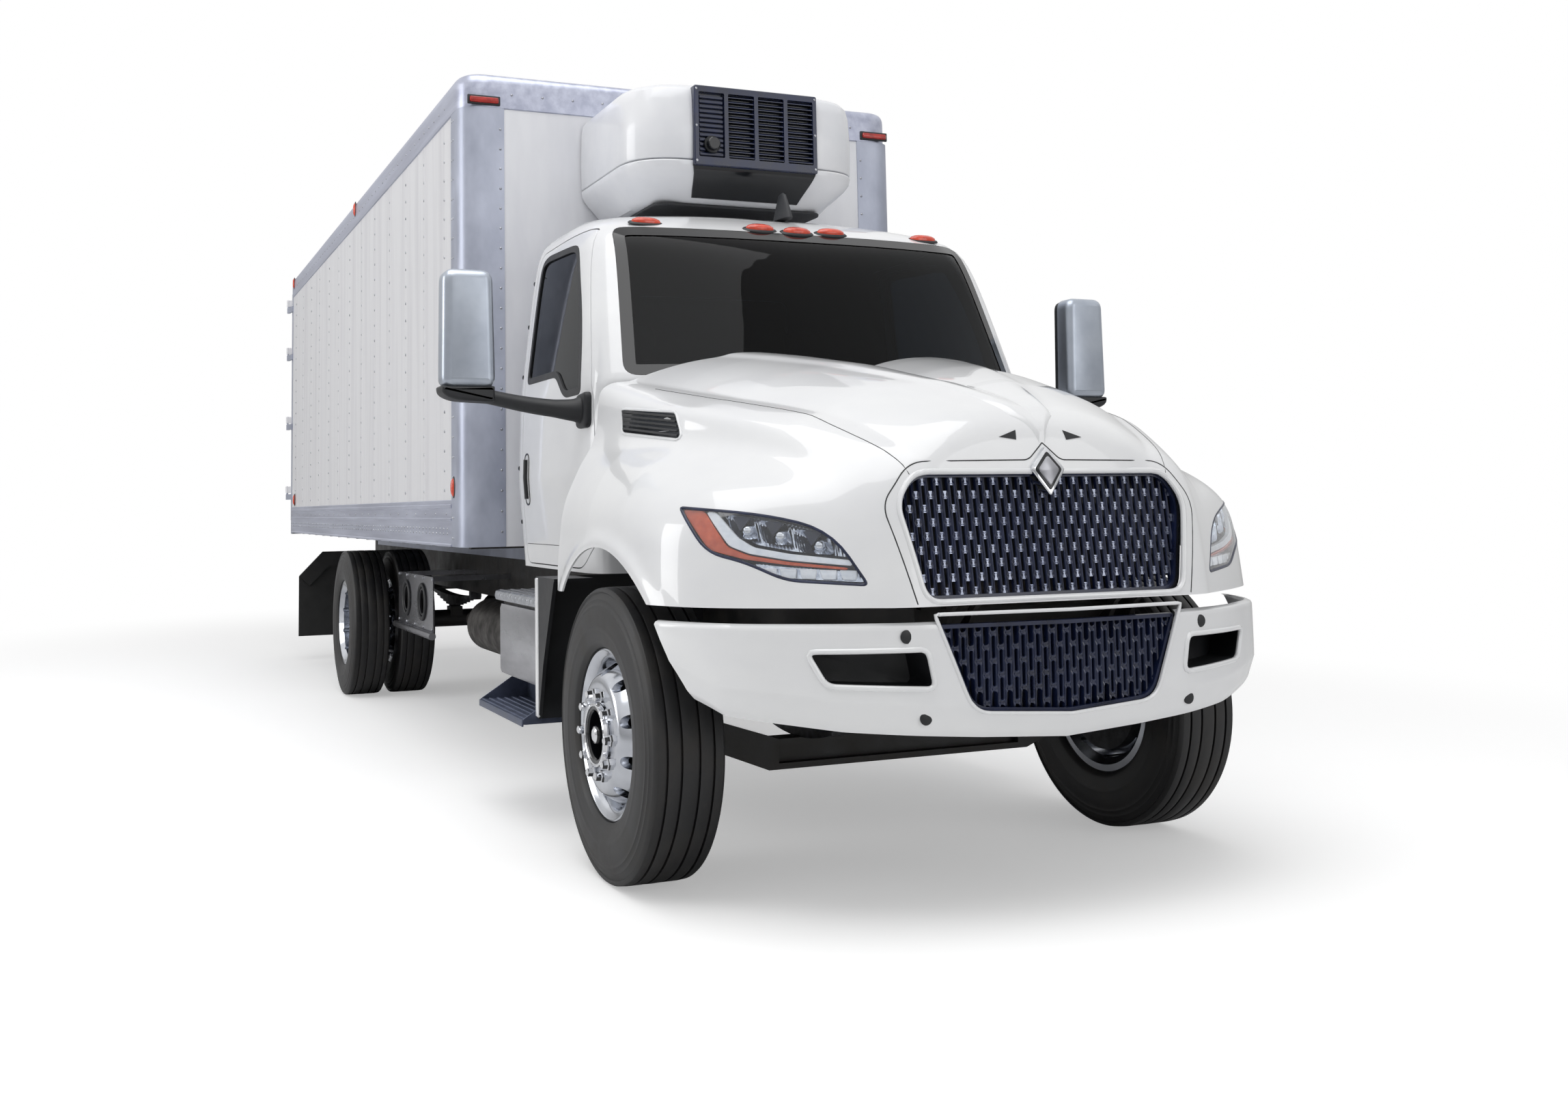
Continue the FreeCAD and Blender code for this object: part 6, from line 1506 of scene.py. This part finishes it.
wipers = []
for y0, y1 in ((-.66, -.10), (.16, .72)):
    t = np.linspace(0, 1, 14)
    wipers.append(tube(on_screen(y0 + (y1 - y0) * t, 1.872 + .012 * np.sin(t * np.pi), .013), .0065, 8))
    arm_y, arm_z = y1 - (y1 - y0) * .55 * t, 1.842 + .040 * t
    wipers.append(tube(on_screen(arm_y, arm_z, .024), np.linspace(.010, .006, 14), 8))
    wipers.append(oval(on_screen(y1, 1.842, .004), (1, 0, .4), (0, 1, 0), .05, .05, .028, 16))
piece("wipers", wipers, BLACK_PLASTIC, "chassis", "black_plastic", (), 40)
recess = dense(rounded([(-1.600, 1.325), (-1.600, 1.565), (-1.515, 1.565), (-1.515, 1.325)], .040, 8), .01)
for side, mark in ((1, "left"), (-1, "right")):
    door, across = "cab_door_" + mark, (0, float(side), 0)
    heads = studs(on_wall(-1.705, np.array([1.25, 1.50, 1.93, 2.17, 2.38]), side), across, .011, .005, 16)
    piece("cab_edge_screws_" + mark, [heads], GLOSS_BLACK, "chassis", "black_plastic")
    cup = stacked([on_wall(*(inset(recess, shrink) if shrink else recess).T, side, level)
                   for shrink, level in ((0, -.012), (0, .002), (.006, .003), (.012, -.004))])
    grip = tube(on_wall(-1.557, np.linspace(1.355, 1.535, 12), side, .006), .011, 12)
    sill = tube(on_wall(np.linspace(-1.62, -.66, 40), 1.150, side, -.0006), .0016, 6)
    for name, shape, material in (("handle_cup", cup, GLOSS_BLACK), ("handle", grip, BLACK_PLASTIC),
                                  ("crease", sill, BLACK_PLASTIC)):
        piece("door_%s_%s" % (name, mark), [shape], material, door, "black_plastic", (), 40)
print("cab details made")

# %% [markdown]
# ## Door mirrors
# A tall satin head in a black rear shell, on one black arm that sweeps out from the door and runs
# under the head as a cup. The arm is a pipe whose section changes; the heads are rounded outlines
# carried along X with a quarter-round edge.
# %% Mirrors
def pillow(line, axis, a, b, edge, steps=6):
    """Like plate, with both rims rounded by a full quarter circle; edge gives the two radii."""
    line = np.asarray(line, float)
    quarter = np.linspace(0, np.pi / 2, steps)
    rings = []
    for r, h, sign, way in ((edge[0], a, 1, quarter), (edge[1], b, -1, quarter[::-1])):
        for angle in way:
            shrink = r * (1 - np.sin(angle))
            flat = inset(line, shrink) if shrink > 1e-6 else line
            ring = np.zeros((len(line), 3))
            ring[:, AXES[axis]] = xyz(*flat.T, h + sign * np.sign(b - a) * r * (1 - np.cos(angle)))
            rings.append(ring)
    return stacked(rings)


HEAD = rounded([(1.380, 1.792), (1.598, 1.792), (1.594, 2.268), (1.392, 2.268)], (.045, .045, .05, .05), 9)
CUP = rounded([(1.385, 1.800), (1.602, 1.800), (1.598, 1.765), (1.545, 1.742), (1.385, 1.735)],
              (.006, .01, .03, .04, .01), 6)
FOOT_LINE = rounded([(-.745, 1.632), (-.618, 1.632), (-.612, 1.780), (-.742, 1.770)], .03, 6)
arm = resampled(softened([(-.672, .992, 1.705), (-.690, 1.080, 1.705), (-.735, 1.250, 1.728), (-.752, 1.420, 1.765)],
                         (.06, .1), 8), 24)
t, a = np.linspace(0, 1, 24)[:, None], full_turn(20)[None, :]
tall, deep = np.interp(t, (0, .18, .5, 1), (.062, .046, .036, .030)), np.interp(t, (0, 1), (.040, .046))
arm = xyz(arm[:, :1] + deep * np.cos(a), arm[:, 1:2], arm[:, 2:] + tall * np.sin(a))
MIRROR_PARTS = (
    ("head", pillow(HEAD, "x", -.688, -.780, (.034, .003)), MIRROR_SHELL, "mirror_shell", 40),
    ("back", pillow(inset(HEAD, .006), "x", -.778, -.816, (.001, .012)), BLACK_PLASTIC, "mirror_shell", 40),
    ("glass", pillow(inset(HEAD, .022), "x", -.812, -.8185, (.0005, .001)), MIRROR_GLASS, "mirror_shell", 40),
    ("cup", pillow(CUP, "x", -.692, -.815, (.016, .016)), BLACK_PLASTIC, "black_plastic", 40),
    ("arm", stacked(arm), BLACK_PLASTIC, "black_plastic", 50),
    ("foot", pillow(FOOT_LINE, "y", .988, 1.040, (.001, .014)), BLACK_PLASTIC, "black_plastic", 40))
for side, mark in ((1, "left"), (-1, "right")):
    for name, shape, material, slot, crease in MIRROR_PARTS:
        piece("mirror_%s_%s" % (name, mark), [shape if side > 0 else mirrored(shape)], material, "cab_door_" + mark,
              slot, ["door_mirror_" + mark] if name == "head" else (), crease)
print("mirrors made")

# %% [markdown]
# ## Steps, boxes and tank
# Aluminium access boxes under the doors, a folded steel step below each, and serrated rows on the
# step that grip a boot: small teeth repeated in six rows.
# %% Steps and tank
arms = [bar(x - .04, x + .04, -.575, -.432, .76, .86, .004) for x in (-1.14, -1.49)]
arms.append(bar(-.93, -1.62, -1.11, -.58, .880, .897, .003))
tank_line = rounded([(.562, .502), (1.108, .502), (1.108, .898), (.562, .898)], .15, 9)
inner = dense(inset(tank_line, -.004), .02)
outer = inset(inner, -.003)
BAND_X, BAND_HALF = (-1.15, -1.85), .025
band = ((-BAND_HALF, inner), (-BAND_HALF, outer), (BAND_HALF, outer), (BAND_HALF, inner))
bands = [grid(np.stack([xyz(x + h, *line.T) for h, line in band]), close_u=True, close_v=True) for x in BAND_X]
hangers = [bar(x - .03, x + .03, .432, .60, .70, .86, .004) for x in BAND_X]
posts = [bar(x - .02, x + .02, .70, 1.0, .892, .912, .002) for x in (-1.0, -1.55)]
for name, shapes, material, slot, hides in (
        ("access_box", [bar(-.912, -1.638, -1.128, -.565, .560, .884, .014)], BRUSHED, "brushed_aluminium",
         ["battery_box"]),
        ("access_box_lid", [bar(-.908, -1.643, -1.150, -.545, .894, .940, .010)], TREAD, "brushed_aluminium", ()),
        ("access_box_arms", arms, CHASSIS_ENAMEL, "chassis_paint", ()),
        ("fuel_tank_shell", [pillow(tank_line, "x", -.912, -2.138, (.016, .016))], BRUSHED, "brushed_aluminium",
         ["fuel_tank"]),
        ("fuel_tank_bands", bands + hangers + posts, BRIGHT_STEEL, "bright_steel", ()),
        ("fuel_tank_tread", [bar(-.912, -1.638, .548, 1.148, .905, .940, .008)], TREAD, "brushed_aluminium", ())):
    piece(name, shapes, material, "chassis", slot, hides)
# The folded steps are painted a dull blue grey, darker than the boxes above them.
STEP_STEEL = finish("painted_grip_step", "#4B5264", "#5D6479", (0.36, 0.48), .08, .004, .0004,
                    Metallic=0.4)
folds = []
for s, top in ((-1, .560), (1, .500)):
    for near, far, low, high in ((.992, 1.223, .444, .4495), (1.217, 1.2245, .420, .450), (.991, .998, .428, top)):
        folds.append(bar(-.912, -1.638, s * near, s * far, low, high, .002))
    for x in (-.914, -1.636):
        wedge = [(s * .993, .428), (s * 1.222, .428), (s * 1.222, .449), (s * 1.045, top), (s * .993, top)]
        folds.append(plate(rounded(wedge, .01, 4), "x", x - .003, x + .003, .001))
piece("step_folds", folds, STEP_STEEL, "chassis", "brushed_aluminium", ["cab_steps"])
teeth_x, teeth_y = np.arange(-1.620, -.925, .021), np.array([1.035, 1.070, 1.105, 1.140, 1.175, 1.207])
places = np.stack(np.meshgrid(teeth_x, teeth_y, [.4495], indexing="ij"), -1).reshape(-1, 3)
teeth = studs(places, (0, 0, 1.0), .009, .006, 6)
piece("step_teeth", both(teeth), STEP_STEEL, "chassis", "brushed_aluminium", (), 20)
ridge = [bar(-.925, -1.625, -1.13 + k * .05, -1.118 + k * .05, .940, .9435, .001) for k in range(11)]
piece("lid_ribs", ridge + [mirrored(r) for r in ridge], BRUSHED, "chassis", "brushed_aluminium", (), 30)
guard_edge = bar(-.905, -.865, 1.158, 1.170, .460, 1.025, .004)
piece("splash_guard_edges", both(guard_edge), CAB_PAINT, "chassis", "cab_paint")
print("steps made")

# %% [markdown]
# ## Side plate
# A bright plate ahead of the rear wheels with two round ports, each with a black ring.
# %% Ports
def hoop(x, y, z, radius, thick):
    """A round ring that faces sideways."""
    a = full_turn(40)
    return tube(xyz(x + radius * np.cos(a), y, z + radius * np.sin(a)), thick, 10, closed=True)


hoops = [hoop(x, -.948, .735, radius, thick) for radius, thick in ((.106, .014), (.080, .006))
         for x in (-4.750, -4.250)]
piece("port_rings", hoops, BLACK_PLASTIC, "chassis", "black_plastic", (), 50)
corners = [(x, -.9455, z) for x in (-3.97, -4.23, -4.50, -4.77, -5.03) for z in (.58, .885)]
piece("port_plate_screws", [studs(corners, (0, -1.0, 0), .010, .006, 10)], BRIGHT_STEEL, "chassis", "bright_steel")
print("ports made")

# %% [markdown]
# ## Inside the cab
# Two sprung seats behind dark glass. A cushion is a closed form with a crown: its outline is a rounded
# rectangle, it is thickest in the middle, and two sewn channels run across it.
# %% Seats and wheel
def cushion(centre, size, up, fore, crown=.35, channels=2):
    """A superellipse in plan, u round it and v from rim to middle on both faces; the thickness falls
    to the rim as a quarter ellipse, and each channel is a narrow dip across the face."""
    up, fore = np.array(up, float) / np.linalg.norm(up), np.array(fore, float) / np.linalg.norm(fore)
    across = np.cross(up, fore)
    a = full_turn(72)[None, :]
    v = np.concatenate([np.linspace(0, 1, 18), np.linspace(1, 0, 18)[1:]])[:, None]
    face = np.concatenate([np.ones(18), -np.ones(17)])[:, None]
    edge = (np.abs(np.cos(a)) ** 4 + np.abs(np.sin(a)) ** 4) ** -0.25
    f, c = v * edge * np.cos(a), v * edge * np.sin(a)
    lift = np.sqrt(np.maximum(1 - v ** 5, 0)) * (1 + crown * (1 - v ** 2)) / (1 + crown)
    for k in range(channels):
        place = (k + 1) / (channels + 1) * 2 - 1
        lift = lift - .16 * np.exp(-((f - place) / .05) ** 2) * np.sqrt(np.maximum(1 - v ** 5, 0))
    P = (np.array(centre, float) + fore * f[..., None] * size[0] / 2 + across * c[..., None] * size[1] / 2
         + up * (face * lift)[..., None] * size[2] / 2)
    return grid(P, close_v=True)


for side, mark in ((1, "left"), (-1, "right")):
    y = side * .480
    for part, *form in (("base", (-1.345, y, 1.398), (.43, .50, .118), (0, 0, 1), (1, 0, .03)),
                        ("back", (-1.600, y, 1.735), (.575, .48, .110), (.97, 0, .16), (-.16, 0, .97), .35, 3),
                        ("head", (-1.632, y, 2.105), (.175, .26, .078), (.98, 0, .1), (-.1, 0, .98), .4, 0)):
        made = piece("seat_%s_%s" % (part, mark), [cushion(*form)], SEAT_CLOTH, "chassis", "seat_cloth",
                     ["seats"] if (part, mark) == ("base", "left") else (), 60)
    base = rounded([(-1.50, y - .17), (-1.20, y - .17), (-1.20, y + .17), (-1.50, y + .17)], .03, 4)
    foot = [plate(base, "z", 1.09, 1.34, .006)]
    foot += [tube([(-1.632, y + s * .06, 1.98), (-1.634, y + s * .06, 2.07)], .007, 8) for s in (-1, 1)]
    piece("seat_pedestal_" + mark, foot, BLACK_PLASTIC, "chassis", "black_plastic")
dash_line = rounded([(-.705, 1.305), (-1.005, 1.480), (-1.036, 1.640), (-.955, 1.738), (-.650, 1.765)],
                    (.02, .05, .06, .05, .03), 7)
console = rounded([(-1.045, 1.50), (-.99, 1.50), (-.99, 1.64), (-1.045, 1.64)], .01, 4)
dash = [pillow(dash_line, "y", -.885, .885, (.03, .03)), bar(-.735, -.665, -.855, .855, 1.095, 1.42, .01),
        pillow(console, "y", -.28, .10, (.01, .01))]
piece("dashboard_moulding", dash, DASH_VINYL, "chassis", "black_plastic", ["dashboard"])
hub_at, column = np.array([-1.112, .480, 1.702]), np.array([-.872, 0, .49]) / np.hypot(.872, .49)
sideways, rising = np.array([0, 1.0, 0]), np.cross(column, (0, 1.0, 0))
a = full_turn(64)[:, None]
parts = [tube(hub_at + .215 * (np.cos(a) * sideways + np.sin(a) * rising), .0165, 14, closed=True)]
for degrees in (-20, 200, 90):
    d = sideways * np.cos(np.radians(degrees)) + rising * np.sin(np.radians(degrees))
    parts.append(tube([hub_at + d * r for r in (.03, .12, .21)], (.020, .015, .013), 10))
parts.append(tube([hub_at - column * .017, hub_at + column * .004, hub_at + column * .016], (.060, .060, .045), 28))
piece("steering_wheel_rim", parts, DASH_VINYL, "chassis", "black_plastic", ["steering_wheel"], 50)
shaft = tube([hub_at - column * .205, hub_at - column * .018], (.034, .034), 20)
piece("steering_column", [shaft], BLACK_PLASTIC, "chassis", "black_plastic", (), 50)
print("cab inside made")
